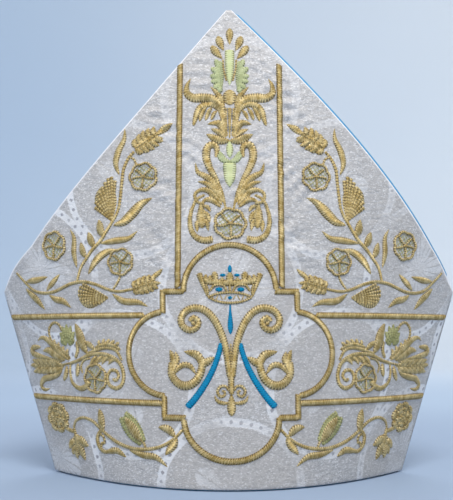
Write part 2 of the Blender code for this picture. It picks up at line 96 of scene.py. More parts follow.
# The tails, in mm
LAPPET_ACROSS = 32.0
LAPPET_WIDTH = {"sewn": 46.0, "end": 56.0}
LAPPET_WALL = 1.6
LAPPET_TOP = 15.5
LAPPET_BEND = 8.0
LAPPET_LENGTH = 320.0
LAPPET_EDGE = 4.0             # from the cloth's edge to the middle of its braid
LAPPET_COLUMNS = 26
LAPPET_ROWS = 150
LAPPET_CAP_STEPS = 3
LAPPET_BRAID = {"half": 1.4, "rise": 1.2, "slant": 0.2}
LAPPET_BRAID_START = 3.4
LAPPET_BRAID_LAP = 1.2        # how far the braids cross at the corners
LAPPET_BRAID_POINTS = 80
FRINGE_LENGTH = 26.0
FRINGE_HEAD = 5.0
FRINGE_CORDS = 42
FRINGE_SWAY = 0.35            # how far each cord strays to the side
FRINGE_FLOOR = 0.15           # the cords' feet above the ground

# Stitching, in mm. Pitch from stitch to stitch, rings of the mesh for each, depth of the gap
# between two as a share of the rise, and how dark the painted shade in that gap is
RIBS = {"pitch": 1.6, "rings": 2, "depth": 0.16, "shade": 0.2}
BEADS = {"pitch": 2.1, "rings": 4, "depth": 0.45, "shade": 0.52}
RIB_WAIST = 0.36              # how much narrower a bar is between two stitches, in mm
RIB_WAIST_MOST = 0.2          # and as a share of its half width
BEAD_WAIST = 0.3
FOOT_SHADE = 0.86             # how dark a gap at the feet is: needle holes and painted shade
LEAST_RISE = 0.65             # a bar rises this much, and more the wider it is
RISE_SHARE = 0.3
RISE_TAPER = 0.6              # how a bar sinks where it narrows
END_ROUNDING = 1.3
BED_RISE = 0.5
STITCH_SINK = 0.15            # the stitches pull this far into the cloth
BRAID_HALF = 2.35
BRAID_RISE = 1.6
BRAID_SLANT = 0.5
BRAID_FEET = 0.1              # how much painted highlight a braid's feet get, where other bars have 1
LEAF_SLANT = 0.3
CHART_MIDDLE = 0.8            # the sprays are charted from this far left of the middle line

# Points this near are merged: of drawings in mm, and of cloth and sewn pieces in metres
DRAWING_WELD = 0.001
CLOTH_WELD = 0.000001
SEWN_WELD = 0.0000001


# ---- the shape of the panels ---------------------------------------------------------

def half_depth(height):
    return RIM_HALF_DEPTH - LEAN * height - LEAN_GAIN * height * height


def half_width(height):
    return RIM_HALF_WIDTH + SIDE_FLARE * height


def bow(height):
    return half_depth(height) / half_width(height) ** 2


def arc_length(x, height):
    slope = 2 * bow(height)
    return x / 2 * np.sqrt(1 + (slope * x) ** 2) + np.arcsinh(slope * x) / (2 * slope)


def plan_x(across, height):
    """The x at which the cloth has run this far from the centre line."""
    slope = 2 * bow(height)
    x = across
    for _ in range(8):
        x = x - (arc_length(x, height) - across) / np.sqrt(1 + (slope * x) ** 2)
    return x


def on_panel(across, height, lift, side):
    """Places on a panel's face, in metres. All are given in mm, as arrays."""
    x = plan_x(across, height)
    slope = 2 * bow(height) * x
    stretch = np.sqrt(1 + slope * slope)
    depth = half_depth(height) - bow(height) * x * x + lift / stretch
    return np.stack((x + lift * slope / stretch, side * depth, height), axis=-1) * MM


def edge_reach(hand, height):
    """From the centre line along the cloth to the panel's edge."""
    seam = arc_length(half_width(height), height)
    top = arc_length(half_width(SEAM_TOP), SEAM_TOP)
    share = np.clip((height - SEAM_TOP) / (PEAK - SEAM_TOP), 0, 1)
    reach = top * (1 - share) + PEAK_REACH * share + EDGE_BOW[hand] * np.sin(np.pi * share)
    corner = np.clip(share / CORNER_SHARE, 0, 1)
    reach = reach + CORNER_FULLNESS[hand] * np.sin(np.pi * corner)
    return np.where(height <= SEAM_TOP, seam, reach)


def ornament_across(across, height):
    """From the embroidery's own middle line to the panel's."""
    return across + ORNAMENT_SHIFT - ORNAMENT_LEAN * np.minimum(height, ORNAMENT_LEAN_TOP)


def smooth_step(low, high, value):
    """A soft step from 0 at low to 1 at high."""
    share = np.clip((value - low) / (high - low), 0, 1)
    return share * share * (3 - 2 * share)


# ---- modelling helpers ---------------------------------------------------------------

def deselect():
    bpy.ops.object.select_all(action="DESELECT")


def pick(pieces):
    """Select these pieces alone, and make the first one active."""
    deselect()
    for piece in pieces:
        piece.select_set(True)
    bpy.context.view_layer.objects.active = pieces[0]


def fresh_grid(name, columns, rows):
    """A grid primitive, with each vertex's share of the way along it and across it."""
    deselect()
    bpy.ops.mesh.primitive_grid_add(x_subdivisions=columns, y_subdivisions=rows, size=1)
    piece = bpy.context.object
    piece.name = name
    places = vertex_places(piece) + 0.5
    return piece, places[:, 0], places[:, 1]


def vertex_places(piece):
    places = np.empty(len(piece.data.vertices) * 3)
    piece.data.vertices.foreach_get("co", places)
    return places.reshape(-1, 3)


def move_vertices(piece, places):
    piece.data.vertices.foreach_set("co", np.ascontiguousarray(places).ravel())
    piece.data.update()


def lay_map(piece, along, aside):
    """Give the piece's own map a value for each vertex."""
    layer = piece.data.uv_layers.active
    corners = np.empty(len(piece.data.loops), np.int32)
    piece.data.loops.foreach_get("vertex_index", corners)
    layer.data.foreach_set("uv", np.stack((along[corners], aside[corners]), axis=-1).ravel())


def mark_vertices(piece, name, values):
    """Give each vertex a value that the materials read by this name."""
    mark = piece.data.attributes.new(name, "FLOAT", "POINT")
    mark.data.foreach_set("value", values.astype(np.float32))


def joined(pieces, name, finish="gold"):
    """Join drawn pieces, close their seams and turn their faces outwards."""
    pick(pieces)
    if len(pieces) > 1:
        bpy.ops.object.join()
    whole = bpy.context.object
    whole.name = name
    whole.data.name = name
    close_seams(whole, DRAWING_WELD)
    whole.data.materials.append(MATERIALS[finish])
    return whole


def close_seams(piece, distance):
    """Merge the places that are one, and turn all faces outwards."""
    pick([piece])
    bpy.ops.object.mode_set(mode="EDIT")
    bpy.ops.mesh.select_all(action="SELECT")
    bpy.ops.mesh.remove_doubles(threshold=distance)
    bpy.ops.mesh.normals_make_consistent(inside=False)
    bpy.ops.object.mode_set(mode="OBJECT")
    bpy.ops.object.shade_smooth()


def hand_over(piece, node=None):
    """The piece rides on the mitre, and may stand for a solid of the frame."""
    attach(piece, "root")
    if node:
        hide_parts(node)


def finish_cloth(piece, finish, node):
    """Give a cloth its material, and hand it over for its solid."""
    piece.data.materials.append(MATERIALS[finish])
    hand_over(piece, node)


# ---- materials -----------------------------------------------------------------------

def add_node(tree, kind, inputs=None, **settings):
    """Add a node with its settings, and feed its inputs."""
    made = tree.nodes.new(kind)
    for name, value in settings.items():
        setattr(made, name, value)
    for socket, value in (inputs or {}).items():
        feed(made.inputs[socket], value)
    return made


def feed(socket, value):
    """Link a value to a socket, or set it. A colour of three numbers is opaque."""
    if isinstance(value, Value):
        value.tree.links.new(value.socket, socket)
    elif isinstance(value, tuple) and len(value) < len(socket.default_value):
        socket.default_value = (*value, 1.0)
    else:
        socket.default_value = value


class Value:
    """What a node puts out. Each sum or method adds a node, so finishes read as formulas."""

    def __init__(self, socket):
        self.socket = socket
        self.tree = socket.id_data

    def into(self, kind, inputs, output=0, **settings):
        """Add a node that reads this value, and give what the node puts out."""
        return Value(add_node(self.tree, kind, inputs, **settings).outputs[output])

    def maths(self, operation, *others, clamp=False):
        return self.into("ShaderNodeMath", dict(enumerate((self, *others))),
                         operation=operation, use_clamp=clamp)

    def __add__(self, other):
        return self.maths("ADD", other)

    def __sub__(self, other):
        return self.maths("SUBTRACT", other)

    def __rsub__(self, other):
        return self.into("ShaderNodeMath", {0: other, 1: self}, operation="SUBTRACT")

    def __mul__(self, other):
        return self.maths("MULTIPLY", other)

    def __truediv__(self, other):
        return self.maths("DIVIDE", other)

    def __abs__(self):
        return self.maths("ABSOLUTE")

    def scaled(self, factor, start):
        """The value times the factor, on top of the start."""
        return self.maths("MULTIPLY_ADD", factor, start)

    def ramp(self, low, high):
        """A soft step from 0 at low to 1 at high."""
        return self.into("ShaderNodeMapRange", {0: self, 1: low, 2: high},
                         interpolation_type="SMOOTHSTEP")

    def blend(self, first, second):
        """The first colour where the value is 0, and the second where it is 1."""
        return self.into("ShaderNodeMix", {0: self, 6: first, 7: second}, output=2,
                         data_type="RGBA")

    def noise(self, scale, detail, **more):
        return self.into("ShaderNodeTexNoise",
                         {"Vector": self, "Scale": scale, "Detail": detail, **more})

    def stretched(self, *scale):
        """The place with a pattern made finer or coarser along each axis."""
        return self.into("ShaderNodeMapping", {"Vector": self, "Scale": scale})

    def split(self):
        made = add_node(self.tree, "ShaderNodeSeparateXYZ", {0: self})
        return [Value(output) for output in made.outputs]

    def bump(self, distance):
        return self.into("ShaderNodeBump",
                         {"Height": self, "Distance": distance, "Strength": 1.0})


def object_place(tree):
    return Value(add_node(tree, "ShaderNodeTexCoord").outputs["Object"])


def own_map(tree):
    return Value(add_node(tree, "ShaderNodeUVMap", uv_map="UVMap").outputs[0])


def vertex_mark(tree, name):
    return Value(add_node(tree, "ShaderNodeAttribute", attribute_name=name).outputs["Fac"])


def place_group(tree, name, inputs):
    """Place one of the node groups in a material, and give its values by name."""
    made = add_node(tree, "ShaderNodeGroup", inputs, node_tree=GROUPS[name])
    return {output.name: Value(output) for output in made.outputs}


def new_group(name, inputs, outputs):
    """A node group: its tree, the values that come in, and the sockets that it feeds."""
    tree = bpy.data.node_groups.new(name, "ShaderNodeTree")
    for socket, kind, value in inputs:
        made = tree.interface.new_socket(socket, in_out="INPUT", socket_type=kind)
        if value is not None:
            made.default_value = value
    for socket in outputs:
        tree.interface.new_socket(socket, in_out="OUTPUT", socket_type="NodeSocketFloat")
    entry = add_node(tree, "NodeGroupInput").outputs
    entering = [Value(entry[socket]) for socket, _, _ in inputs]
    return tree, entering, add_node(tree, "NodeGroupOutput").inputs


# The woven figure, in metres on the cloth
REPEAT = (0.140, 0.130)
RING_STARTS = ((0.0015, -0.003), (0.0715, 0.062))
RING_RADIUS = 0.0455
RIBBON_EDGE = (0.0024, 0.0032)          # where the ribbon's edge starts and ends
DOTS = 44
DOT_PITCH = 0.0066
DOT_EDGE = (0.0008, 0.0015)
PALMETTE = {"least": 0.009, "more": 0.017}      # radius between leaves, and more at each
SAG = -0.8                    # how the figure sags in the middle


def span(across, up):
    """The length of a line that runs this far across and up."""
    return (across * across + up * up).maths("SQRT")


def damask_rings(places, start):
    """Dotted ring ribbons, a palmette in each and plain satin round it, repeated."""
    near = []
    for value, first, step in zip(places, start, REPEAT):
        cell = (value - first) / step
        near.append((cell - cell.maths("ROUND")) * step)
    distance = span(*near)
    angle = near[1].maths("ARCTAN2", near[0])
    off_ring = distance - RING_RADIUS
    ribbon = 1.0 - abs(off_ring).ramp(*RIBBON_EDGE)
    turns = angle * (DOTS / (2 * math.pi))
    along = (turns - turns.maths("ROUND")) * DOT_PITCH
    dots = 1.0 - span(along, off_ring).ramp(*DOT_EDGE)
    petals = abs((angle * 2.5).maths("COSINE"))
    inside = distance - petals.scaled(PALMETTE["more"], PALMETTE["least"])
    veins = abs((angle * 10.0).maths("SINE"))
    leaves = (1.0 - inside.ramp(-0.0006, 0.0008)) * veins.ramp(0.15, 0.45)
    satin = 1.0 - distance.ramp(RING_RADIUS - 0.001, RING_RADIUS + 0.001)
    return ribbon, dots, leaves, satin


def make_damask_group():
    """The woven figure, from the cloth's own map: ribbons, dots, leaves and satin."""
    names = ("Ribbon", "Dots", "Leaves", "Satin")
    tree, (place,), leaving = new_group("damask", [("Place", "NodeSocketVector", None)], names)
    flat = place.split()
    waver = place.noise(22.0, 1.0).scaled(0.006, -0.003)
    waver = waver + place.noise(700.0, 1.0).scaled(0.0016, -0.0008)
    x = flat[0] + waver
    y = flat[1] + x * x * SAG + waver
    first, second = (damask_rings((x, y), start) for start in RING_STARTS)
    for name, one, other in zip(names, first, second):
        feed(leaving[name], one.maths("MAXIMUM", other))
    return tree


def make_stitch_group():
    """Satin threads across a bar: u runs along it in metres, v from foot to foot."""
    tree, (run, pitch), leaving = new_group(
        "satin_stitches",
        [("Run", "NodeSocketVector", None), ("Pitch", "NodeSocketFloat", 0.0004)],
        ["Height", "Thread"])
    along, across, _ = run.split()
    along = (along + across * 0.0009) / pitch
    feed(leaving["Height"], (along * (2 * math.pi)).maths("SINE").scaled(0.5, 0.5))
    thread = along.maths("FLOOR")
    count = thread.into("ShaderNodeCombineXYZ", {0: thread})
    own = count.into("ShaderNodeTexWhiteNoise", {"Vector": count}, noise_dimensions="3D")
    feed(leaving["Thread"], own)
    return tree


def new_material(name, roughness, metallic, sheen=0.0, specular=0.5):
    """A material, its node tree and its shader's sockets."""
    material = bpy.data.materials.new(name)
    material.use_nodes = True
    shader = material.node_tree.nodes["Principled BSDF"].inputs
    shader["Roughness"].default_value = roughness
    shader["Metallic"].default_value = metallic
    shader["Sheen Weight"].default_value = sheen
    shader["Specular IOR Level"].default_value = specular
    return material, material.node_tree, shader


def thread_material(name, light, core, dark, roughness, metallic, specular):
    """Satin-stitched thread: a deep core and random pale threads, with painted highlights on
    the stitch ends at the feet and painted shade in the gaps between stitches.
    """
    material, tree, shader = new_material(name, roughness, metallic, specular=specular)
    stitches = place_group(tree, "stitches", {"Run": own_map(tree)})
    place = object_place(tree)
    patch = place.noise(210.0, 2.0)
    fleck = place.noise(900.0, 1.0)
    own = stitches["Thread"].scaled(0.2, (patch + fleck) * 0.4)
    # Painted highlight: the stitch ends at a bar's feet are painted pale, over the threads' own
    # random tone.
    edge = vertex_mark(tree, "edge") * 0.45
    pale = own.ramp(0.38, 0.62).maths("MULTIPLY_ADD", 0.55, edge, clamp=True)
    # Painted shade: the gaps between stitches, darkest at the bar's feet, turn to the dark colour.
    shade = (fleck - 0.5).scaled(0.7, vertex_mark(tree, "groove")).ramp(0.15, 0.9)
    feed(shader["Base Color"], shade.blend(pale.blend(core, light), dark))
    feed(shader["Roughness"], shade.scaled(0.35, roughness))
    feed(shader["Normal"], stitches["Height"].bump(0.00012))
    return material


# The brocade's colours, from shade to light where there are two
SATIN = ((0.36, 0.336, 0.318), (0.55, 0.514, 0.486))
CRINKLED = ((0.352, 0.333, 0.322), (0.62, 0.59, 0.57))
GLINT = (0.90, 0.885, 0.88)
FIGURE = (0.80, 0.785, 0.785)
DOT = (0.27, 0.26, 0.275)
HEM = (0.84, 0.82, 0.82)


def brocade_material():
    """Silver-white lame damask: a satin ground, a crinkled figure and dotted ribbons."""
    material, tree, shader = new_material("brocade", 0.45, 0.1, sheen=0.1)
    place = own_map(tree)
    figure = place_group(tree, "damask", {"Place": place})
    across, height, _ = place.split()
    patch = place.noise(21.0, 2.0)
    low = 1.0 - height.ramp(0.07, 0.20)
    aside = abs(across).ramp(0.05, 0.12)
    # Painted sheen: the cloth's own woven figure is painted stronger low down and towards the
    # sides, in patches, as where its sheen catches the light.
    broad = low.maths("MAXIMUM", aside).scaled(0.75, 0.2)
    least = low.scaled(0.1, 0.27)
    painted_figure_sheen = patch.ramp(least, least + 0.24) * broad
    lame = (1.0 - figure["Satin"] * low) * patch.ramp(0.38, 0.62).scaled(0.6, 0.4)
    grain = place.stretched(1.0, 1.9, 1.0)
    crinkle = grain.noise(260.0, 4.0, Roughness=0.7, Distortion=0.6)
    foil = grain.into("ShaderNodeTexVoronoi", {"Vector": grain, "Scale": 1050.0}, "Color")
    own = foil.split()[0]
    glint = own.ramp(0.74, 0.98) * lame.scaled(0.2, 0.45)
    ribbon = figure["Ribbon"] * painted_figure_sheen.scaled(0.9, 0.12)
    bright = ribbon.maths("MAXIMUM", figure["Leaves"] * (painted_figure_sheen * 0.6))
    shade = own.scaled(0.45, crinkle.ramp(0.3, 0.7) * 0.55)
    colour = lame.blend(shade.blend(*SATIN), shade.blend(*CRINKLED))
    colour = (glint * 0.7).blend(colour, GLINT)
    colour = (bright * 0.85).blend(colour, FIGURE)
    colour = (figure["Dots"] * ribbon * 0.9).blend(colour, DOT)
    # Painted highlight: the turned edge above the seams is painted pale, as where its rounded fold
    # catches the light.
    colour = vertex_mark(tree, "hem").ramp(0.2, 0.9).blend(colour, HEM)
    feed(shader["Base Color"], colour)
    feed(shader["Roughness"], glint.scaled(-0.15, 0.55))
    feed(shader["Metallic"], lame.scaled(0.1, 0.05))
    folds = place.stretched(62.0, 105.0, 1.0).noise(1.0, 3.0, Distortion=1.6)
    relief = crinkle * lame.scaled(0.35, 0.25) + own * 0.1 + bright * 0.1
    relief = relief + folds * low.scaled(-0.45, 0.85)
    feed(shader["Normal"], relief.bump(0.0011))
    return material


def lining_material():
    """Bright blue taffeta with fine cross ribs and a little unevenness."""
    material, tree, shader = new_material("blue_lining", 0.5, 0.0, sheen=0.4)
    place = object_place(tree)
    ribs = [place.into("ShaderNodeTexWave",
                       {"Vector": place, "Scale": 420.0, "Distortion": 0.6, "Detail": 1.0,
                        "Detail Scale": 0.05}, "Fac", bands_direction=direction)
            for direction in ("X", "Y")]
    slubs = place.stretched(90.0, 1400.0, 90.0).noise(1.0, 2.0)
    patch = place.noise(30.0, 3.0)
    feed(shader["Base Color"], slubs.scaled(0.5, patch * 0.5).blend((0.0, 0.20, 0.42),
                                                                    (0.02, 0.33, 0.60)))
    feed(shader["Roughness"], patch.scaled(0.2, 0.4))
    feed(shader["Normal"], ((ribs[0] + ribs[1]) * 0.5).bump(0.00015))
    return material


def ground_material():
    """A pale blue backdrop with painted light: lighter towards the window's side, and a floor
    painted darker than the wall, most of all at its middle, where the lamps light it most.
    """
    material, tree, shader = new_material("pale_ground", 0.95, 0.0, specular=0.05)
    place = object_place(tree)
    aside = place.noise(1.1, 1.0).scaled(0.3, place.split()[0])
    radius = place.into("ShaderNodeVectorMath", {0: place}, "Value", operation="LENGTH")
    # Painted light: wall and floor are lighter towards the window's side, and the floor has
    # painted shade towards its middle.
    wall = aside.ramp(-1.3, 1.5).blend((0.545, 0.67, 0.82), (0.90, 0.955, 1.0))
    floor = aside.ramp(-0.5, 0.6).blend((0.385, 0.485, 0.625), (0.42, 0.52, 0.65))
    near = radius.ramp(0.25, 0.7).blend((0.33, 0.412, 0.54), floor)
    feed(shader["Base Color"], radius.ramp(0.6, 2.6).blend(near, wall))
    return material


THREADS = {
    # finish: name, light colour (pale threads and painted highlight), core colour, dark colour
    # (painted shade), roughness, metallic, specular
    "gold": ("gold_thread", (0.965, 0.785, 0.425), (0.375, 0.25, 0.067),
             (0.085, 0.048, 0.012), 0.36, 0.6, 0.5),
    "pale_green": ("pale_green_thread", (0.70, 0.73, 0.42), (0.41, 0.44, 0.20),
                   (0.12, 0.12, 0.05), 0.5, 0.1, 0.5),
    "olive": ("olive_thread", (0.66, 0.63, 0.31), (0.27, 0.26, 0.085),
              (0.07, 0.065, 0.02), 0.45, 0.25, 0.5),
    "lime": ("yellow_green_thread", (0.80, 0.82, 0.50), (0.66, 0.69, 0.32),
             (0.26, 0.25, 0.10), 0.5, 0.1, 0.5),
    "blue": ("blue_satin_thread", (0.0, 0.36, 0.60), (0.0, 0.19, 0.38),
             (0.0, 0.04, 0.10), 0.5, 0.0, 0.2),
}
GROUPS = {"damask": make_damask_group(), "stitches": make_stitch_group()}
MATERIALS = {finish: thread_material(*facts) for finish, facts in THREADS.items()}
MATERIALS["brocade"] = brocade_material()
MATERIALS["lining"] = lining_material()
SLOTS = {finish: "gold_thread" for finish in THREADS}
SLOTS.update(blue="blue_satin", brocade="brocade", lining="blue_lining")


# ---- stitching drawn flat ------------------------------------------------------------

# Cross-sections of stitching, foot to foot: share of the half width, share of the rise
ROUND_BACK = ((-1.0, 0.0), (-0.68, 0.74), (-0.26, 1.0), (0.26, 1.0), (0.68, 0.74), (1.0, 0.0))
NARROW_BACK = ((-1.0, 0.0), (-0.55, 0.8), (0.0, 1.0), (0.55, 0.8), (1.0, 0.0))
NARROW_MOST = 1.3
CURVE_STEPS = 12              # from one given point of a smooth curve to the next


def full(run):
    return np.sin(np.pi * run) ** 0.5


# How a shape's half width runs from its first point to its last
SHAPES = {
    "stem": lambda run: 0.78 + 0.22 * np.sin(np.pi * run),
    "beads": lambda run: 0.9 + 0.1 * np.sin(np.pi * run),
    "leaf": lambda run: np.sin(np.pi * run ** 0.9) ** 0.75,
    "tapered": lambda run: np.sin(np.pi * (0.06 + 0.94 * run ** 1.3)) ** 0.8,
    "pod": lambda run: np.cos(np.pi / 2 * run ** 1.7) ** 0.7,
    "late": lambda run: 0.3 + 0.7 * np.sin(np.pi * run ** 1.9) ** 0.9,
    "horn": lambda run: 0.36 + 0.64 * run ** 1.3,
    "ray": lambda run: 0.35 + 0.65 * run,
    "ribbon": lambda run: 0.72 + 0.28 * run,
    "hanging": lambda run: np.sin(np.pi * run ** 2.2) ** 0.7 * 0.75 + 0.25 * (1 - run),
    "wedge": lambda run: np.sin(np.pi * run ** 1.5) ** 0.6,
    "plump": full,
    "bed": full,
    "braid": np.ones_like,
    "rim": np.ones_like,
}
BEADED = ("beads", "ray")


def smooth_curve(fixed):
    """A smooth curve through the points."""
    if len(fixed) < 3:
        return fixed
    ends = np.vstack((2 * fixed[0] - fixed[1], fixed, 2 * fixed[-1] - fixed[-2]))
    share = np.linspace(0, 1, CURVE_STEPS, endpoint=False)[:, None]
    parts = []
    for before, start, stop, after in zip(ends, ends[1:], ends[2:], ends[3:]):
        parts.append(0.5 * (
            2 * start + (stop - before) * share
            + (2 * before - 5 * start + 4 * stop - after) * share ** 2
            + (3 * start - before - 3 * stop + after) * share ** 3))
    return np.vstack(parts + [fixed[-1:]])


def even_line(fixed, count):
    """Resample a line to this many equal lengths."""
    lengths = np.linalg.norm(np.diff(fixed, axis=0), axis=1)
    run = np.concatenate(([0], np.cumsum(lengths)))
    even = np.linspace(0, run[-1], count + 1)
    return np.stack((np.interp(even, run, fixed[:, 0]), np.interp(even, run, fixed[:, 1])), 1)


def bar(shape, half, points, rise=None, slant=0.0, straight=False, closed=False):
    """A satin-stitched bar through the points, in mm, as a grid rolled round its line."""
    stitching = BEADS if shape in BEADED else RIBS
    line = np.array(points, float)
    if not straight:
        line = smooth_curve(line)
    length = np.linalg.norm(np.diff(line, axis=0), axis=1).sum()
    stitches = max(3, int(round(length / stitching["pitch"])))
    count = stitches * stitching["rings"]
    line = even_line(line, count)
    run = np.linspace(0, 1, count + 1)
    section = np.array(NARROW_BACK if half <= NARROW_MOST else ROUND_BACK)
    piece, u, v = fresh_grid("bar", count, len(section))
    ring = np.rint(u * count).astype(int)
    shares = section[np.rint(v * len(section)).astype(int) % len(section)]
    widths = half * SHAPES[shape](run)
    if not closed:
        widths = widths * rounded_ends(run * length, length, min(half, END_ROUNDING))
    groove = 0.5 + 0.5 * np.cos(2 * np.pi * stitches * run)
    if rise is None:
        rise = LEAST_RISE + RISE_SHARE * half
    tall = rise * (widths / half) ** RISE_TAPER * (1 - stitching["depth"] * groove)
    waist = BEAD_WAIST if shape in BEADED else min(RIB_WAIST_MOST, RIB_WAIST / half)
    widths = widths * (1 - waist * groove)
    heading = direction_of(line, closed)
    aside = np.stack((-heading[:, 1], heading[:, 0]), 1)
    offset = (widths[ring] * shares[:, 0])[:, None]
    flat = line[ring] + aside[ring] * offset + heading[ring] * offset * slant
    lift = tall[ring] * shares[:, 1] - STITCH_SINK
    move_vertices(piece, np.column_stack((flat, lift)))
    lay_map(piece, run[ring] * length * MM, 0.5 + 0.5 * shares[:, 0])
    feet_highlight = BRAID_FEET if shape == "braid" else 1.0
    shade_grooves(piece, groove[ring] * min(1, half), shares, stitching["shade"], feet_highlight)
    return piece


def shade_grooves(piece, groove, shares, shade, feet_highlight):
    """Mark each vertex's painted shade, from how deep between the stitches it lies and how near
    to the bar's feet, and the painted highlight at the feet.
    """
    at_side = np.abs(shares[:, 0]) > 0.5
    mark_vertices(piece, "groove", np.where(at_side, FOOT_SHADE, shade) * groove)
    mark_vertices(piece, "edge", np.where(at_side, feet_highlight, 0.0))


def rounded_ends(place, length, radius):
    nearest = np.minimum(place, length - place) / radius
    return np.sqrt(1 - (1 - np.clip(nearest, 0, 1)) ** 2)


def direction_of(line, closed):
    if closed:
        wrapped = np.vstack((line[-2], line, line[1]))
        heading = wrapped[2:] - wrapped[:-2]
    else:
        heading = np.gradient(line, axis=0)
    return heading / np.linalg.norm(heading, axis=1)[:, None]


def arc(centre, radii, start, stop, count):
    """Places on an ellipse from one angle to another, in degrees."""
    angles = np.radians(np.linspace(start, stop, count + 1))
    return [(centre[0] + radii[0] * math.cos(angle), centre[1] + radii[1] * math.sin(angle))
            for angle in angles]


def braid_bar(line):
    return bar("braid", BRAID_HALF, line, rise=BRAID_RISE, slant=BRAID_SLANT, straight=True)


def fan(apex, ends, half):
    """Beaded rays on a satin bed, which widen from one place to the fan's outer edge."""
    outer = ends[len(ends) // 2]
    spread = math.dist(ends[0], ends[-1]) / 2
    bars = [bar("wedge", 0.8 * spread, (apex, outer), rise=0.6)]
    return bars + [bar("ray", half, (apex, end), rise=1.3) for end in ends]


def axis_of(base, tip):
    """Where a leaf or bud starts, its run from base to tip, and the way to its side."""
    base = Vector(base)
    axis = Vector(tip) - base
    return base, axis, Vector((-axis.y, axis.x)).normalized()


def cone(base, tip, half, scales=5):
    """A bud of overlapping scales in pairs along its middle line."""
    base, axis, aside = axis_of(base, tip)
    bars = [bar("plump", half * 0.62, (base, Vector(tip)), rise=1.0)]
    for row in range(scales):
        share = (row + 0.2) / scales
        reach = half * math.sin(math.pi * (0.2 + 0.66 * share)) ** 0.7
        root = base + axis * share
        for hand in (-1, 1):
            end = root + aside * hand * reach + axis * (0.95 / scales)
            bend = root + aside * hand * reach * 0.62 + axis * (0.3 / scales)
            bars.append(bar("leaf", axis.length / scales * 0.66, (root, bend, end), rise=1.6))
    bars.append(bar("beads", 0.8, (base, base + axis * 0.94), rise=2.0))
    return bars


def moved(points):
    """Places of a chart, on the embroidery's middle line."""
    return [(x - CHART_MIDDLE, y) for x, y in points]


def mirrored(points, hand):
    return [(hand * x, y) for x, y in points]


def chart(rows, fullness):
    """Bars for the rows of a chart, moved on to the embroidery's middle line."""
    bars = []
    for shape, half, points in rows:
        rise = BED_RISE if shape == "bed" else None
        slant = LEAF_SLANT if shape == "leaf" else 0.0
        bars.append(bar(shape, half * fullness, moved(points), rise=rise, slant=slant))
    return bars


def in_pairs(rows):
    """Bars for the rows of shape, half width, rise and points, on the left and the right."""
    return [bar(shape, half, mirrored(points, hand), rise=rise)
            for hand in (-1, 1) for shape, half, rise, points in rows]


# The sprays of the right half, in mm: shape, half width and the places it runs through
UPPER_SPRAY = (
    ("beads", 1.4, ((66, 221), (70, 216.5), (73.5, 209), (74.6, 200), (75.6, 190),
                    (76.8, 181.5))),
    ("stem", 1.4, ((76.4, 183), (78.4, 177.6), (80.8, 173.6), (85.2, 166.9), (90.2, 160),
                   (96.3, 154.4), (101.3, 148.3), (106, 142), (109, 133))),
    ("leaf", 2.4, ((51.6, 231.6), (46, 235.6), (39.4, 240))),
    ("leaf", 1.9, ((54.5, 227.6), (50.5, 229.4), (45.6, 229.4))),
    ("leaf", 2.4, ((76.4, 204.6), (79.2, 213), (77.4, 221.6), (73.6, 230), (73.2, 238))),
    ("beads", 1.0, ((64.6, 211.6), (66.2, 215.4), (69.6, 217.2))),
    ("leaf", 3.5, ((80.6, 170.2), (73, 172.4), (67, 177.8), (60.6, 184.4), (52.6, 188.4))),
    ("leaf", 2.4, ((90.6, 158.2), (79.2, 159.8), (69.2, 161.2), (62.8, 166))),
    ("leaf", 3.0, ((86.8, 163.2), (90.2, 168.2), (91.5, 175))),
    ("leaf", 2.8, ((94.2, 156.2), (97.8, 161.4), (99.7, 166.8))),
    ("leaf", 2.5, ((101.2, 149), (104.2, 154.2), (105.7, 160))),
    ("leaf", 2.2, ((109, 142.4), (111.2, 153), (111.2, 163), (114.2, 169.6))),
    ("leaf", 2.8, ((99.8, 137.6), (93.2, 147), (85.2, 152.4), (75.6, 153.4))),
    ("stem", 1.1, ((74.6, 137), (77, 131.6), (80.6, 127))),
    ("stem", 1.3, ((64.7, 127.2), (75.8, 125.6), (84.7, 127.2), (93.6, 130.6), (103.6, 132.8),
                   (113.6, 131.9), (121.3, 129.4), (130.2, 126.7), (140.2, 126.1),
                   (149.1, 128.3), (156.9, 133.9), (166, 141.6))),
    ("leaf", 2.4, ((81.4, 124.2), (73, 119.2), (62.2, 118.3), (55, 115.2))),
    ("leaf", 2.4, ((134.4, 124.6), (128.6, 121.4), (121.6, 120), (114.6, 115.4))),
    ("leaf", 2.6, ((157.4, 130), (151.6, 125.2), (146, 121), (139.2, 114.4))),
    ("leaf", 2.2, ((136.6, 127.6), (130.4, 133.2), (123.6, 138.8))),
    ("leaf", 2.3, ((156.8, 134.4), (146, 135.4), (134.6, 137.4))),
    ("leaf", 1.9, ((53.4, 133.2), (49.6, 136.2), (45, 140.2))),
    ("leaf", 1.7, ((55, 129.4), (50.6, 130.6), (46, 130.8))),
)
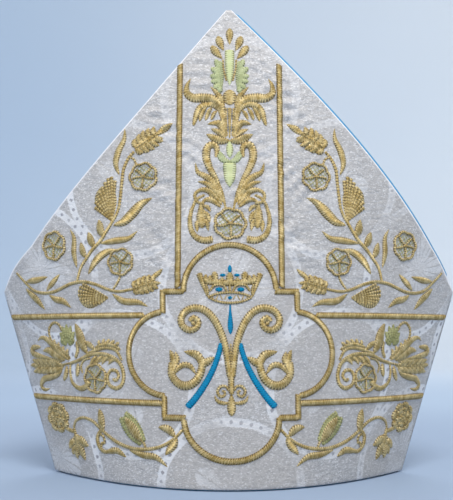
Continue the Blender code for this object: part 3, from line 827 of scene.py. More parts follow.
MIDDLE_SPRAY = (
    ("bed", 2.3, ((77.4, 80), (88, 81.6), (100, 78))),
    ("leaf", 1.4, ((78.6, 81.4), (82.4, 80.2), (85.4, 77))),
    ("leaf", 1.4, ((83.2, 83), (87.4, 81), (90.6, 77))),
    ("leaf", 1.4, ((88.4, 83.4), (92.8, 80.8), (96, 76.4))),
    ("leaf", 1.4, ((93.6, 83.2), (97.8, 80.2), (100.8, 75.6))),
    ("stem", 0.9, ((99.6, 81.4), (105.4, 79.9), (108.4, 75.8), (107.2, 71))),
    ("stem", 1.4, ((120, 77.2), (110.4, 79.8), (104, 82.4), (98, 84), (90, 84.3), (82, 82.3),
                   (75.8, 77.8), (73.4, 71), (74.6, 65), (79, 62), (84.6, 64), (86.2, 69),
                   (83.6, 73.4), (79, 73.2), (77.2, 69.8), (79.8, 67), (82, 68.6))),
    ("stem", 1.2, ((74.4, 80), (79, 86.6), (86, 88.4), (93, 87.2), (104, 84))),
    ("bed", 2.6, ((75, 87), (85, 90.2), (96.4, 88.4))),
    ("leaf", 1.5, ((74.8, 87.4), (84, 90.6), (96.4, 88.8))),
    ("plump", 1.3, ((79, 89.4), (77.8, 91), (76, 91.8))),
    ("plump", 1.3, ((82, 90.2), (81.2, 92.2), (79.4, 93.2))),
    ("plump", 1.3, ((85.4, 90.4), (84.8, 92.8), (83.2, 94))),
    ("plump", 1.3, ((88.8, 90.4), (88.6, 92.8), (87.4, 94.2))),
    ("plump", 1.3, ((92, 89.8), (92.4, 92), (91.6, 93.6))),
    ("leaf", 1.9, ((95.6, 87), (100.6, 90.4), (105.4, 92.4))),
    ("leaf", 3.4, ((102.4, 84.4), (106.8, 92), (109, 98), (112, 105))),
    ("stem", 1.4, ((111.4, 93), (110.8, 86.6), (113.4, 81))),
    ("horn", 2.3, ((118.2, 77.4), (119.2, 71), (117.4, 64.4), (111, 60.8), (105, 62.4),
                   (101.2, 66.4))),
    ("plump", 1.8, ((111, 78), (111.6, 73.4), (112.8, 68.4))),
    ("plump", 1.9, ((121.8, 76), (123.2, 71), (126.2, 65.2))),
    ("beads", 1.1, ((124.2, 99.6), (126.8, 103.8), (131.6, 105.4), (136, 102.2), (137, 97),
                    (134, 91))),
    ("bed", 2.4, ((117.4, 80.6), (126, 86), (134.6, 91.6))),
    ("plump", 1.4, ((120, 82), (120.6, 85), (119.4, 87.6))),
    ("plump", 1.4, ((123.6, 84), (124.2, 87.2), (123.2, 89.6))),
    ("plump", 1.4, ((127.6, 86.6), (128.6, 89.6), (127.8, 92))),
    ("plump", 1.4, ((131.4, 89.4), (132.6, 92), (132, 94.2))),
    ("leaf", 2.4, ((118.4, 79.6), (127, 84), (133, 89), (140, 93.6), (146, 95), (150.2, 92.6))),
    ("leaf", 3.0, ((123, 79.6), (131.6, 83), (138.6, 86), (145.6, 85.6))),
    ("late", 2.2, ((126, 78.6), (139, 80.4), (150, 82), (157.4, 84.2), (156, 87.8),
                   (147.4, 88.6))),
    ("leaf", 2.2, ((126, 74.8), (131, 70), (140, 67.6), (147.8, 66), (152, 61.6), (149, 58.6),
                   (141.6, 59.6))),
    ("bed", 3.6, ((124, 76), (142, 75), (160, 75))),
    ("leaf", 1.7, ((152, 74.8), (157, 75.4), (162, 75.2))),
    ("beads", 0.9, ((119.4, 77.6), (128, 76.2), (139, 75.2), (154, 75))),
)
BARBS = (128.5, 133.3, 138.1, 142.9, 147.7, 152)     # where the feather's barbs leave its middle
LOWER_SPRAY = (
    ("stem", 1.3, ((31.2, 38.2), (38.3, 31.2), (47.2, 26.3), (57.2, 24.1), (68.3, 24.1),
                   (79.4, 26.9), (88.3, 31.4), (95, 36), (101.7, 39.8), (110, 41.2),
                   (117.2, 38.6), (120.2, 33.2))),
    ("stem", 1.5, ((118.6, 31), (124, 31.8), (129.4, 33))),
    ("stem", 1.1, ((57.6, 24.6), (59.6, 28.6), (62.6, 32))),
    ("leaf", 4.1, ((59.6, 28.6), (66.8, 36.4), (74, 44))),
    ("leaf", 3.1, ((90.8, 33.8), (92.8, 40.6), (94.2, 48.4))),
    ("leaf", 2.2, ((72.8, 18.2), (80, 21.6), (86.4, 20.8), (92.4, 19.6))),
    ("stem", 1.6, ((88, 20.2), (92.6, 20.4), (96.4, 24), (97, 29), (94.6, 32.8), (91, 34.8))),
    ("beads", 1.2, ((94.6, 31.6), (91.4, 29.6), (91.2, 26.2), (94, 25), (93.6, 22.8))),
    ("bed", 6.4, ((118.4, 30), (117.6, 23), (116.4, 15))),
    ("leaf", 3.1, ((118.4, 26.6), (113, 25.4), (106, 22.6))),
    ("leaf", 3.1, ((117.6, 24), (113.6, 19), (110.4, 12.4))),
    ("leaf", 3.0, ((118, 24), (119.4, 19), (119, 12.6))),
    ("leaf", 3.1, ((118.2, 25.4), (123.4, 23), (128, 18.8))),
    ("leaf", 2.5, ((118, 22), (122.6, 18.6), (124.6, 14.8))),
    ("plump", 3.0, ((118.4, 29.6), (117.4, 26), (117, 20.6))),
    ("stem", 1.5, ((120.2, 34), (119.2, 30.6), (118.2, 27))),
    ("leaf", 2.6, ((36.8, 32.8), (41.6, 37), (48.8, 38.4))),
    ("leaf", 2.6, ((35.8, 32.4), (39, 27), (44, 21))),
    ("leaf", 2.2, ((70.6, 22.8), (60, 20.4), (50.2, 19.4), (42.2, 13.8))),
)

# One half of the plant that climbs the middle of the horn
COLUMN_HALF = (
    ("wedge", 2.7, ((4.0, 292), (6.4, 297.6), (8.2, 303.6))),
    ("wedge", 2.8, ((4.8, 286), (8.8, 290.6), (12.8, 296.2))),
    ("beads", 0.9, ((4.6, 286), (4.2, 279), (2.0, 269.6))),
    ("leaf", 2.0, ((3.6, 249), (6.4, 258), (13.2, 266))),
    ("tapered", 3.3, ((3.4, 231), (4.4, 243), (6.6, 252), (11, 256.4), (18.2, 257.6),
                      (24.8, 257.8), (29, 261), (29.4, 266), (26.6, 272.4))),
    ("late", 2.5, ((2.6, 229), (3.6, 242), (7.6, 250.2), (14, 253.2), (20.8, 249.4),
                   (24.8, 237.6))),
    ("plump", 1.7, ((15.4, 251.8), (18.4, 247.4), (20.6, 240.6))),
    ("plump", 1.6, ((12, 250.8), (14.6, 246.8), (16.4, 241.2))),
    ("plump", 1.5, ((8.4, 249), (10.8, 246), (12.6, 241.6))),
    ("leaf", 2.5, ((2.6, 229.6), (4.6, 235.6), (8.4, 239.6), (15.2, 238.6))),
    ("leaf", 2.1, ((3.2, 229), (7.2, 233), (12.8, 235.4))),
    ("leaf", 2.9, ((-0.4, 226.7), (7.2, 227.4), (16, 231.8))),
    ("beads", 0.9, ((2.6, 250.5), (2.4, 240), (1.7, 230))),
    ("late", 2.7, ((2.4, 178.6), (4.6, 189), (8.4, 198.6), (13.6, 208.6), (15.9, 216.6),
                   (14.4, 222.8), (10.9, 224.2), (8.5, 221), (9.4, 215))),
    ("beads", 0.8, ((7.4, 184), (9.6, 191), (14.4, 201.6))),
    ("leaf", 2.5, ((3.6, 183), (7.6, 192), (12, 199), (17, 202.6), (21.4, 205.4),
                   (23.2, 212))),
    ("leaf", 2.4, ((4.6, 184), (9.4, 191.6), (15, 197), (21.6, 198.6))),
    ("leaf", 2.2, ((4.8, 182), (11.6, 190.4), (17.6, 193), (23.6, 190.4))),
    ("leaf", 2.0, ((5.6, 180.6), (11.2, 185.4), (15.6, 186), (19.6, 183))),
    ("stem", 1.3, ((11.2, 184.6), (13.4, 190.6), (18.4, 193), (23, 190), (21.8, 184.8),
                   (16.4, 183.2))),
    ("wedge", 3.4, ((19.4, 184.6), (18.8, 177), (18.2, 166.4))),
    ("leaf", 1.9, ((19, 179), (15, 175.6), (12.8, 170.4))),
    ("leaf", 1.9, ((19, 174.6), (15.4, 170.6), (14, 164.8))),
    ("leaf", 1.9, ((19, 174), (21.4, 169.6), (21.4, 164))),
    ("plump", 1.5, ((18.6, 182), (14.8, 181), (12.6, 177.8))),
    ("horn", 2.6, ((16.4, 189.6), (22, 186), (25.6, 178), (26.2, 169), (23.4, 162),
                   (17.6, 158.8), (10.8, 159.4))),
)

FEATHER = {"root": 118, "length": 50, "middle": 75.0, "half": 5.0}


def draw_upper_spray():
    """The branch beside the upright braid: its chart, two buds and two beaded fans."""
    bars = chart(UPPER_SPRAY, 1.12)
    bars += cone((65.2, 222.8), (48.6, 232.6), 8.2)
    bars += cone((65.2, 127.4), (48.6, 131.6), 6.2)
    bars += fan((80.4, 173), moved(((79.6, 201.6), (82.2, 204.4), (84.8, 203.4), (87.2, 200.8),
                                    (89.6, 197.8), (91.6, 194.6), (93.2, 191.2), (94.4, 187.6),
                                    (94.6, 183.6))), 1.75)
    bars += fan((83.2, 121.6), moved(((104.6, 131.4), (107.2, 129.4), (108.4, 126.6),
                                      (108.4, 123.6), (107.4, 120.8), (105, 118.6),
                                      (101, 117.2), (96.4, 116.8), (92, 117.6))), 1.7)
    return bars


def draw_middle_spray():
    return chart(MIDDLE_SPRAY, 1.22) + feather()


def draw_lower_spray():
    return chart(LOWER_SPRAY, 1.15)


def draw_column_leaves():
    return [bar(shape, 1.15 * half, points) for shape, half, points in COLUMN_HALF]


def draw_column_greens():
    """The half leaf beside the pod, with its lobes, and the bud's crescent."""
    bars = [bar("leaf", 4.3, ((6.2, 285), (7.8, 275), (6.0, 262.4)), rise=1.0)]
    for root, tip in (((6.8, 278.6), (9.8, 286.2)), ((7.4, 275.6), (13.0, 280)),
                      ((7.8, 272.6), (13.6, 274)), ((7.6, 270), (13.2, 269.6)),
                      ((6.8, 268), (11.2, 264.2)), ((6, 266), (7.6, 260.8))):
        bars.append(bar("plump", 2.5, (root, tip), rise=1.2))
    return bars + [bar("stem", 0.9, ((5.2, 284), (6.4, 275), (5.2, 265)), rise=1.6),
                   bar("leaf", 2.4, ((-0.6, 212.3), (4.6, 213.6), (8.6, 217.8))),
                   bar("plump", 1.9, ((2.6, 214.2), (5.4, 216.4), (7.2, 219.8)))]


def draw_middle_flower():
    """A small jagged flower: green fingers that fan out from its stalk."""
    root = Vector((118.7, 89.6))
    tips = moved(((113, 94), (112.8, 99.4), (115.8, 103.4), (120, 104.6), (124, 103.2),
                  (126.6, 98.8), (126.4, 93.8)))
    bars = [bar("plump", 2.3, (root.lerp(Vector(tip), 0.1), tip), rise=1.1) for tip in tips]
    for first, second in zip(tips, tips[1:]):
        middle = (Vector(first) + Vector(second)) / 2
        bars.append(bar("plump", 1.3, (root.lerp(middle, 0.3), root.lerp(middle, 0.85)),
                        rise=1.7))
    return bars


def feather():
    """Barbs in pairs, which leave a level middle line towards the feather's tip."""
    bars = []
    middle = FEATHER["middle"]
    for across in BARBS:
        share = (across - FEATHER["root"]) / FEATHER["length"]
        reach = FEATHER["half"] * math.sin(math.pi * share) ** 0.6
        for hand in (-1, 1):
            barb = ((across - 2, middle), (across + 2.6, middle + hand * reach * 0.7),
                    (across + 7.4, middle + hand * reach))
            bars.append(bar("leaf", 2.2, moved(barb), rise=1.3))
    return bars


def draw_leaf_border():
    """Short green stitches that border a leaf on both sides."""
    half, fingers = 6.8, 12
    base, axis, aside = axis_of((58.6, 27.4), (73.0, 43.8))
    bars = [bar("bed", half * 0.7, (base + axis * 0.06, base + axis * 0.98), rise=BED_RISE)]
    for finger in range(fingers):
        share = (finger + 0.5) / fingers
        reach = half * math.sin(math.pi * (0.12 + 0.72 * share)) ** 0.7
        root = base + axis * share
        for hand in (-1, 1):
            start = root + aside * hand * reach * 0.15
            end = root + aside * hand * reach + axis * 0.1
            bars.append(bar("leaf", 1.7, (start, end), rise=1.1))
    bars.append(bar("plump", 1.6, (base + axis * 0.86, base + axis * 1.04), rise=1.1))
    return bars


def draw_plant():
    return [bar("wedge", 3.0, ((0, 296.4), (0, 303), (0, 309.4))),
            bar("plump", 5.3, ((0, 252.2), (0, 258), (0, 263.8)), rise=1.6),
            bar("horn", 2.0, ((0, 228.6), (0, 240), (0, 250.8)))]


def draw_buds():
    return [bar("pod", 3.7, ((0, 293.2), (0, 281), (0, 266.4)), rise=1.5),
            bar("plump", 2.7, ((0, 226.8), (0, 221), (0, 215)), rise=1.3),
            bar("pod", 4.9, ((0, 211.8), (0, 204), (0, 194.6)), rise=1.4)]


def draw_wheel():
    """A flower of five cells: stitched ring, five spokes and a hub. Radius 10 mm."""
    ring = []
    for across, up in arc((0, 0), (1, 1), 0, 360, 84):
        scallop = 8.1 + 1.2 * abs(math.cos(3.5 * math.atan2(up, across))) ** 0.7
        ring.append((scallop * across, scallop * up))
    bars = [bar("rim", 1.2, ring, rise=1.6, straight=True, closed=True)]
    for angle in (40, 130, 190, 270, 350):
        across, up = math.cos(math.radians(angle)), math.sin(math.radians(angle))
        bend = (4.8 * across - 0.5 * up, 4.8 * up + 0.5 * across)
        bars.append(bar("stem", 1.0, ((0.6 * across, 0.6 * up), bend, (8.0 * across, 8.0 * up)),
                        rise=1.5))
    bars.append(bar("plump", 1.6, ((-1.5, 0), (1.5, 0)), rise=1.9))
    return bars


def draw_wheel_cells():
    """Open green net that fills the wheel's cells."""
    bars = []
    for turn in (35, 125):
        angle = math.radians(turn)
        run = Vector((math.cos(angle), math.sin(angle)))
        aside = Vector((-run.y, run.x))
        for step in range(-3, 4):
            offset = 2.1 * step
            reach = math.sqrt(7.7 ** 2 - offset ** 2)
            bars.append(bar("stem", 0.4, (aside * offset - run * reach,
                                          aside * offset + run * reach), rise=0.5))
    return bars


def draw_rose():
    """A full rose of curved petals in three rings on a bed. Radius 10 mm."""
    bars = [bar("bed", 9.2, ((-9.4, 0), (9.4, 0)), rise=0.8)]
    for radius, petals, half, start in ((8.6, 8, 2.3, 8), (5.2, 6, 2.0, 40), (2.2, 3, 1.8, 0)):
        for petal in range(petals):
            first = start + 360 * petal / petals
            turn = 360 / petals * 1.15
            bars.append(bar("leaf", half, arc((0, 0), (radius, radius), first, first + turn, 6),
                            rise=1.7))
    bars.append(bar("plump", 1.3, ((-1, 0), (1, 0)), rise=2.0))
    return bars


FRAME_TOP = {"centre": 125.0, "half_width": 30.4, "rise": 30.5}
FRAME_SIDE = {"across": 41.5, "centre": 85.0, "radius": 27.0}
FRAME_FOOT = {"centre": 44.5, "half_width": 30.5, "drop": 26.3}
FRAME_STEP = {"upper": 44.3, "lower": 43.5}
LOBE_STEPS = 60
STEP_LAP = 1.2                # how far two bars of a square step cross
LOBE_LAP = 1.0                # and a bar and a lobe


def draw_frame():
    """The quatrefoil: three lobes and a foot, joined by square steps."""
    top, side, foot, step = FRAME_TOP, FRAME_SIDE, FRAME_FOOT, FRAME_STEP
    radius = side["radius"]
    start = math.degrees(math.acos((step["upper"] - side["across"]) / radius))
    stop = -math.degrees(math.acos((step["lower"] - side["across"]) / radius))
    high = side["centre"] + radius * math.sin(math.radians(start))
    low = side["centre"] + radius * math.sin(math.radians(stop))
    right_half = [
        arc((side["across"], side["centre"]), (radius, radius), start, stop, LOBE_STEPS),
        ((top["half_width"] - STEP_LAP, top["centre"]), (step["upper"] + STEP_LAP, top["centre"])),
        ((step["upper"], top["centre"] + STEP_LAP), (step["upper"], high - LOBE_LAP)),
        ((step["lower"], low + LOBE_LAP), (step["lower"], foot["centre"] - STEP_LAP)),
        ((step["lower"] + STEP_LAP, foot["centre"]),
         (foot["half_width"] - STEP_LAP, foot["centre"])),
    ]
    lines = [arc((0, top["centre"]), (top["half_width"], top["rise"]), 180, 0, LOBE_STEPS),
             arc((0, foot["centre"]), (foot["half_width"], -foot["drop"]), 0, 180, LOBE_STEPS)]
    lines += [mirrored(line, hand) for hand in (-1, 1) for line in right_half]
    return [braid_bar(line) for line in lines]


def draw_scroll():
    """The right half of the emblem: a volute that swings out from the stem, and its leaf."""
    arm = ((0.8, 70.0), (1.9, 79.0), (3.0, 87.2), (4.8, 94.4), (7.6, 101.6), (11.4, 108.0),
           (16.4, 112.6), (22.6, 114.2), (28.8, 112.2), (32.0, 107.4), (30.9, 102.6),
           (26.6, 100.0), (22.2, 101.4), (20.7, 105.2), (23.8, 107.8), (26.4, 105.2))
    bowl = ((38.4, 80.0), (38.4, 71.6), (33.6, 65.8), (27.6, 64.8), (22.2, 68.2), (19.2, 74.0),
            (18.4, 79.4), (19.6, 83.0))
    return [bar("stem", 2.8, arm, rise=1.9, slant=0.2),
            bar("plump", 1.9, ((22.6, 103.2), (25.4, 105.6)), rise=1.7),
            bar("stem", 3.1, bowl, rise=1.7),
            bar("leaf", 3.1, ((38.2, 71.0), (36.6, 79.0), (39.6, 87.6)), rise=1.7),
            bar("leaf", 2.0, ((36.6, 76.4), (34.6, 81.0), (36.0, 86.4)), rise=1.5),
            bar("leaf", 3.0, ((18.6, 76.0), (21.2, 83.6), (30.4, 86.4)), rise=1.7),
            bar("leaf", 2.3, ((22.4, 72.0), (26.6, 77.2), (32.4, 77.0), (38.0, 70.6)), rise=1.4),
            bar("leaf", 2.8, ((20.4, 77.2), (15.4, 79.6), (10.4, 83.0)), rise=1.5)]


def draw_ribbon():
    points = ((5.9, 92.0), (7.7, 85.0), (10.4, 77.6), (14.0, 70.2), (18.6, 62.8),
              (23.4, 56.4), (28.4, 51.0))
    return [bar("ribbon", 2.6, points, rise=1.4, slant=0.1)]


def draw_lily():
    """The stem between the scrolls and its foot: a drop with a curl on either side."""
    bars = [bar("stem", 2.3, ((0, 77), (0, 68), (0, 59)), rise=1.8),
            bar("wedge", 3.2, ((0, 60.6), (0, 53), (0, 45.8)), rise=1.6),
            bar("beads", 0.8, ((0, 76), (0, 84), (0, 91.6)), rise=1.2)]
    return bars + in_pairs((
        ("stem", 1.25, 1.4, ((1.6, 61.4), (3.2, 64.2), (6.6, 64.4), (8.8, 61.4), (7.2, 58.2),
                             (4.4, 58.8), (4.4, 61.4), (6.3, 61.4))),
        ("leaf", 1.6, 1.3, ((1.2, 54.2), (5.2, 54.0), (9.0, 55.4), (10.8, 59.0))),
    ))


def draw_crown():
    """An open crown: a double rim with a net in it, a gem band and five points."""
    bars = [bar("stem", 1.1, ((-14.6, 121.2), (-7.6, 118.3), (0, 117.4), (7.6, 118.3),
                              (14.6, 121.2)), rise=1.5),
            bar("stem", 1.1, ((-14.6, 121.2), (-7.6, 123.5), (0, 124.2), (7.6, 123.5),
                              (14.6, 121.2)), rise=1.5),
            bar("braid", 2.5, ((-16.8, 131.8), (-8.4, 130.8), (0, 130.4), (8.4, 130.8),
                               (16.8, 131.8)), rise=1.3),
            bar("stem", 1.3, ((0, 124), (0, 130)), rise=1.5)]
    for step in range(-4, 5):
        lean = 0.9 if step % 2 else -0.9
        bars.append(bar("stem", 0.5, ((2.8 * step - lean, 119.2), (2.8 * step + lean, 122.8)),
                        rise=0.8))
    bars += in_pairs((
        ("horn", 2.5, 1.6, ((14.2, 121.2), (17.2, 128.6), (20.2, 137.2))),
        ("leaf", 2.2, 1.6, ((15.6, 130), (16.0, 133), (15.4, 136.4))),
        ("wedge", 2.6, 1.6, ((9.0, 130), (9.6, 134), (10.2, 138.2))),
        ("leaf", 1.9, 1.6, ((12.4, 130.6), (12.9, 133), (12.8, 135.8))),
        ("leaf", 1.7, 1.6, ((5.0, 130.6), (5.0, 132.6), (5.0, 134.6))),
        ("stem", 1.3, 1.6, ((1.8, 124.6), (4.4, 128.8), (10.0, 128.8), (13.2, 124.8))),
        ("stem", 1.2, 1.6, ((14.4, 122.4), (14.6, 126), (15.6, 130))),
    ))
    bars.append(bar("leaf", 2.9, ((0, 129.6), (0, 133.6), (0, 138.2)), rise=1.6))
    return bars


def draw_gems():
    """Blue satin stones and pearls of the crown, and the drop that hangs from it."""
    bars = []
    for across, height, wide, high in ((-7.1, 126.2, 2.6, 1.7), (7.1, 126.2, 2.6, 1.7),
                                       (0, 120.8, 1.5, 1.5), (-4.6, 135.6, 2.1, 1.2),
                                       (4.6, 135.6, 2.1, 1.2)):
        bars.append(bar("plump", high, ((across - wide, height), (across, height),
                                        (across + wide, height)), rise=1.4))
    bars.append(bar("plump", 1.6, ((0, 136.6), (0, 139.4), (0, 142.4)), rise=1.4))
    bars.append(bar("hanging", 2.5, ((0, 117.2), (0, 108), (0, 97.0)), rise=1.3))
    return bars


# Every flat pattern: how it is drawn, and its finish
PATTERNS = {
    "upper_spray": (draw_upper_spray, "gold"),
    "middle_spray": (draw_middle_spray, "gold"),
    "lower_spray": (draw_lower_spray, "gold"),
    "column_leaves": (draw_column_leaves, "gold"),
    "column_greens": (draw_column_greens, "pale_green"),
    "middle_flower": (draw_middle_flower, "olive"),
    "leaf_border": (draw_leaf_border, "olive"),
    "plant": (draw_plant, "gold"),
    "buds": (draw_buds, "lime"),
    "wheel": (draw_wheel, "gold"),
    "wheel_cells": (draw_wheel_cells, "olive"),
    "rose": (draw_rose, "gold"),
    "frame": (draw_frame, "gold"),
    "scroll": (draw_scroll, "gold"),
    "ribbon": (draw_ribbon, "blue"),
    "lily": (draw_lily, "gold"),
    "crown": (draw_crown, "gold"),
    "gems": (draw_gems, "blue"),
}

FLOWER_RADIUS = 10            # as drawn
# Round flowers: node, pattern, across, height, radius across and up
FLOWERS = (
    ("wheel_upper", "wheel", 58.7, 203.0, 10.3, 10.3),
    ("wheel_side", "wheel", 127.2, 158.5, 10.2, 10.6),
    ("wheel_low", "wheel", 74.2, 145.3, 9.6, 9.6),
    ("wheel_band", "wheel", 95.4, 68.0, 9.8, 10.2),
    ("rose", "rose", 135.8, 39.8, 12.2, 10.3),
)
MIDDLE_WHEEL = {"place": (0.3, 169.8), "size": (1.12, 1.1)}
UPRIGHT_ACROSS = 34.2
UPRIGHT_SPAN = (127.2, 283.0)
BAND_STARTS = {"upper_band": (109.7, 56.4), "lower_band": (53.4, 44.2)}
BAND_END_MARGIN = 1.6


def lay_on(pattern, name, side, hand=1, place=(0.0, 0.0), size=(1.0, 1.0)):
    """Copy a flat pattern, with its own mesh, on to a panel."""
    piece = bpy.data.objects.new(name, pattern.data.copy())
    piece.data.name = name
    bpy.context.scene.collection.objects.link(piece)
    flat = vertex_places(piece)
    height = flat[:, 1] * size[1] + place[1]
    across = ornament_across(hand * (flat[:, 0] * size[0] + place[0]), height)
    move_vertices(piece, on_panel(across, height, flat[:, 2] + puckers(across, height), side))
    if hand * side > 0:
        piece.data.flip_normals()
    return piece


def sew(patterns, key, name, side, node=None, **where):
    """Lay a pattern on a panel, in its own finish."""
    hand_over(lay_on(patterns[key], name, side, **where), node)


def embroider(patterns, side):
    """All the stitching of one panel."""
    start = SIDE_NAMES[side] + "_"
    for key in ("frame", "lily", "crown", "plant"):
        node = start + ("medallion_frame" if key == "frame" else key)
        sew(patterns, key, node + "_stitched", side, node)
    sew(patterns, "gems", start + "crown_gems", side)
    sew(patterns, "buds", start + "plant_buds", side)
    for hand in (-1, 1):
        ending = "_" + HAND_NAMES[hand]
        for key in ("scroll", "ribbon"):
            sew(patterns, key, start + key + "_stitched" + ending, side, start + key + ending,
                hand=hand)
        for key in ("upper_spray", "middle_spray", "lower_spray", "column_leaves",
                    "column_greens", "middle_flower", "leaf_border"):
            sew(patterns, key, start + key + ending, side, hand=hand)
        for node, key, across, height, wide, high in FLOWERS:
            lay_flower(patterns, side, start + node + ending, key, hand=hand,
                       place=(across, height),
                       size=(wide / FLOWER_RADIUS, high / FLOWER_RADIUS))
        lay_braids(side, hand)
    lay_flower(patterns, side, start + "wheel_middle", "wheel", **MIDDLE_WHEEL)


def lay_flower(patterns, side, node, key, **where):
    """Sew a round flower on, and the net in a wheel's cells."""
    sew(patterns, key, node + "_stitched", side, node, **where)
    if key == "wheel":
        sew(patterns, "wheel_cells", node + "_cells", side, **where)


def lay_braids(side, hand):
    """The upright bar and the two level bars of one half of a panel."""
    start = SIDE_NAMES[side] + "_"
    ending = "_" + HAND_NAMES[hand]
    lines = {"upright_braid": [(UPRIGHT_ACROSS, height) for height in UPRIGHT_SPAN]}
    for name, (height, across) in BAND_STARTS.items():
        stop = arc_length(half_width(height), height) - BAND_END_MARGIN
        stop -= hand * ornament_across(0.0, height)
        lines[name] = ((across, height), (stop, height))
    for name, line in lines.items():
        flat = joined([braid_bar(line)], "braid")
        piece = lay_on(flat, start + name + "_stitched" + ending, side, hand)
        bpy.data.objects.remove(flat, do_unlink=True)
        hand_over(piece, start + name + ending)


# ---- panels, lining and valley -------------------------------------------------------

def puckers(across, height):
    """How the cloth rises and sinks, in mm: short level tucks by the braids, and drifts."""
    beside = np.exp(-((np.abs(across) - 46) / 18) ** 2) * smooth_step(112, 140, height)
    inside = np.exp(-(across / 30) ** 2) * smooth_step(150, 170, height)
    inside = inside * (1 - 0.6 * smooth_step(255, 290, height))
    wander = 4.2 * np.sin(across / 16 + height / 37) + 2.4 * np.sin(across / 7.9 - height / 21)
    slope = (0.42 + 0.3 * np.sin(height / 26)) * np.abs(across)
    level = np.sin(2 * np.pi * (height + wander - slope) / 11.3)
    second = np.sin(2 * np.pi * (height - 0.9 * wander + slope) / 7.3 + across / 15)
    gate = 0.5 + 0.5 * np.sin(across / 7.5 + height / 9.7 + 2 * np.sin(height / 31))
    tucks = (1.25 * beside + 1.1 * inside) * (0.6 * level + 0.45 * second) * gate
    aside = smooth_step(50, 80, np.abs(across))
    drift = np.sin(across / 6.5 + 2.4 * np.sin(height / 17)) * np.sin(
        height / 5.7 + 1.7 * np.sin(across / 23))
    crease = -0.5 * np.exp(-((across - 3.5) / 1.6) ** 2) * (1 - smooth_step(12, 24, height))
    from_edge = np.minimum(edge_reach(-1, height), edge_reach(1, height)) - np.abs(across)
    fade = smooth_step(0, 12, from_edge) * smooth_step(0, 8, height)
    return (tucks + crease + (0.12 * aside + 0.10) * drift) * fade


def walled_cloth(name, columns, rows, cap_steps):
    """A grid rolled flat, with the share of its reach at each vertex, the turn of its edge
    from the outer face to the inner one, and the share of the way up."""
    ring = [(2 * column / columns - 1, 0.0) for column in range(columns + 1)]
    ring += [(1.0, 180 * step / cap_steps) for step in range(1, cap_steps)]
    ring += [(1 - 2 * column / columns, 180.0) for column in range(columns + 1)]
    ring += [(-1.0, 180 - 180 * step / cap_steps) for step in range(1, cap_steps)]
    piece, u, v = fresh_grid(name, len(ring), rows)
    column = np.rint(u * len(ring)).astype(int) % len(ring)
    share, turn = np.array(ring)[column].T
    return piece, share, np.radians(turn), v


def turned_edge(share, turn, reach, radius):
    """Places across a walled cloth whose edge turns round with this radius."""
    cap = np.where(np.abs(share) == 1, np.sign(share) * radius * np.sin(turn), 0)
    return share * (reach - radius) + cap


def panel_levels():
    """Height of each level, and how far its two faces have come apart."""
    inner = np.linspace(RIM_RISE + RIM_LEVELS[1], PEAK - PEAK_LEVELS[1], PANEL_ROWS - 3)
    heights = np.concatenate(([RIM_RISE, RIM_RISE + RIM_LEVELS[0]], inner,
                              [PEAK - PEAK_LEVELS[0], PEAK]))
    opening = np.ones_like(heights)
    opening[[0, -1]] = 0.0
    opening[[1, -2]] = WALL_OPENING
    return heights, opening


def make_panel(side):
    """A stiff wall of brocade with turned edges, folded over at the rim."""
    name = SIDE_NAMES[side] + "_panel"
    piece, share, turn, v = walled_cloth(name + "_cloth", PANEL_COLUMNS, PANEL_ROWS, CAP_STEPS)
    level = np.rint(v * PANEL_ROWS).astype(int)
    height, opening = (values[level] for values in panel_levels())
    half_wall = WALL / 2
    rounding = half_wall * smooth_step(SEAM_TOP, SEAM_TOP + EDGE_ROUNDING, height)
    reach = np.where(share < 0, edge_reach(-1, height), edge_reach(1, height))
    across = turned_edge(share, turn, reach, rounding)
    lift = (np.cos(turn) - 1) * half_wall
    lift = -half_wall + (lift + half_wall) * opening
    lift = lift + np.where(turn == 0, puckers(across, height) * opening, 0)
    places = on_panel(across, height, lift, side)
    least = GAP / 2 * MM
    places[:, 1] = side * np.maximum(side * places[:, 1], least)
    move_vertices(piece, places)
    lay_map(piece, across * MM, height * MM)
    # The hem mark places the painted highlight on the turned edge above the seams.
    mark_vertices(piece, "hem", (np.abs(share) == 1) & (height > HEM_START))
    close_seams(piece, CLOTH_WELD)
    finish_cloth(piece, "brocade", name)
    panel_cut()
    panel_area()


def panel_cut():
    """The rectangle from which a panel's face is cut, in metres."""
    heights = np.linspace(0, PEAK, LEVEL_SAMPLES)
    widest = (edge_reach(-1, heights) + edge_reach(1, heights)).max()
    return widest * MM, (PEAK - RIM_RISE) * MM


def panel_area():
    heights = np.linspace(RIM_RISE, PEAK, LEVEL_SAMPLES)
    widths = edge_reach(-1, heights) + edge_reach(1, heights)
    return float(widths.mean() * (PEAK - RIM_RISE) * MM * MM)


def inner_depth(x, height, inset):
    slope = 2 * bow(height) * x
    return half_depth(height) - bow(height) * x * x - inset * np.sqrt(1 + slope * slope)


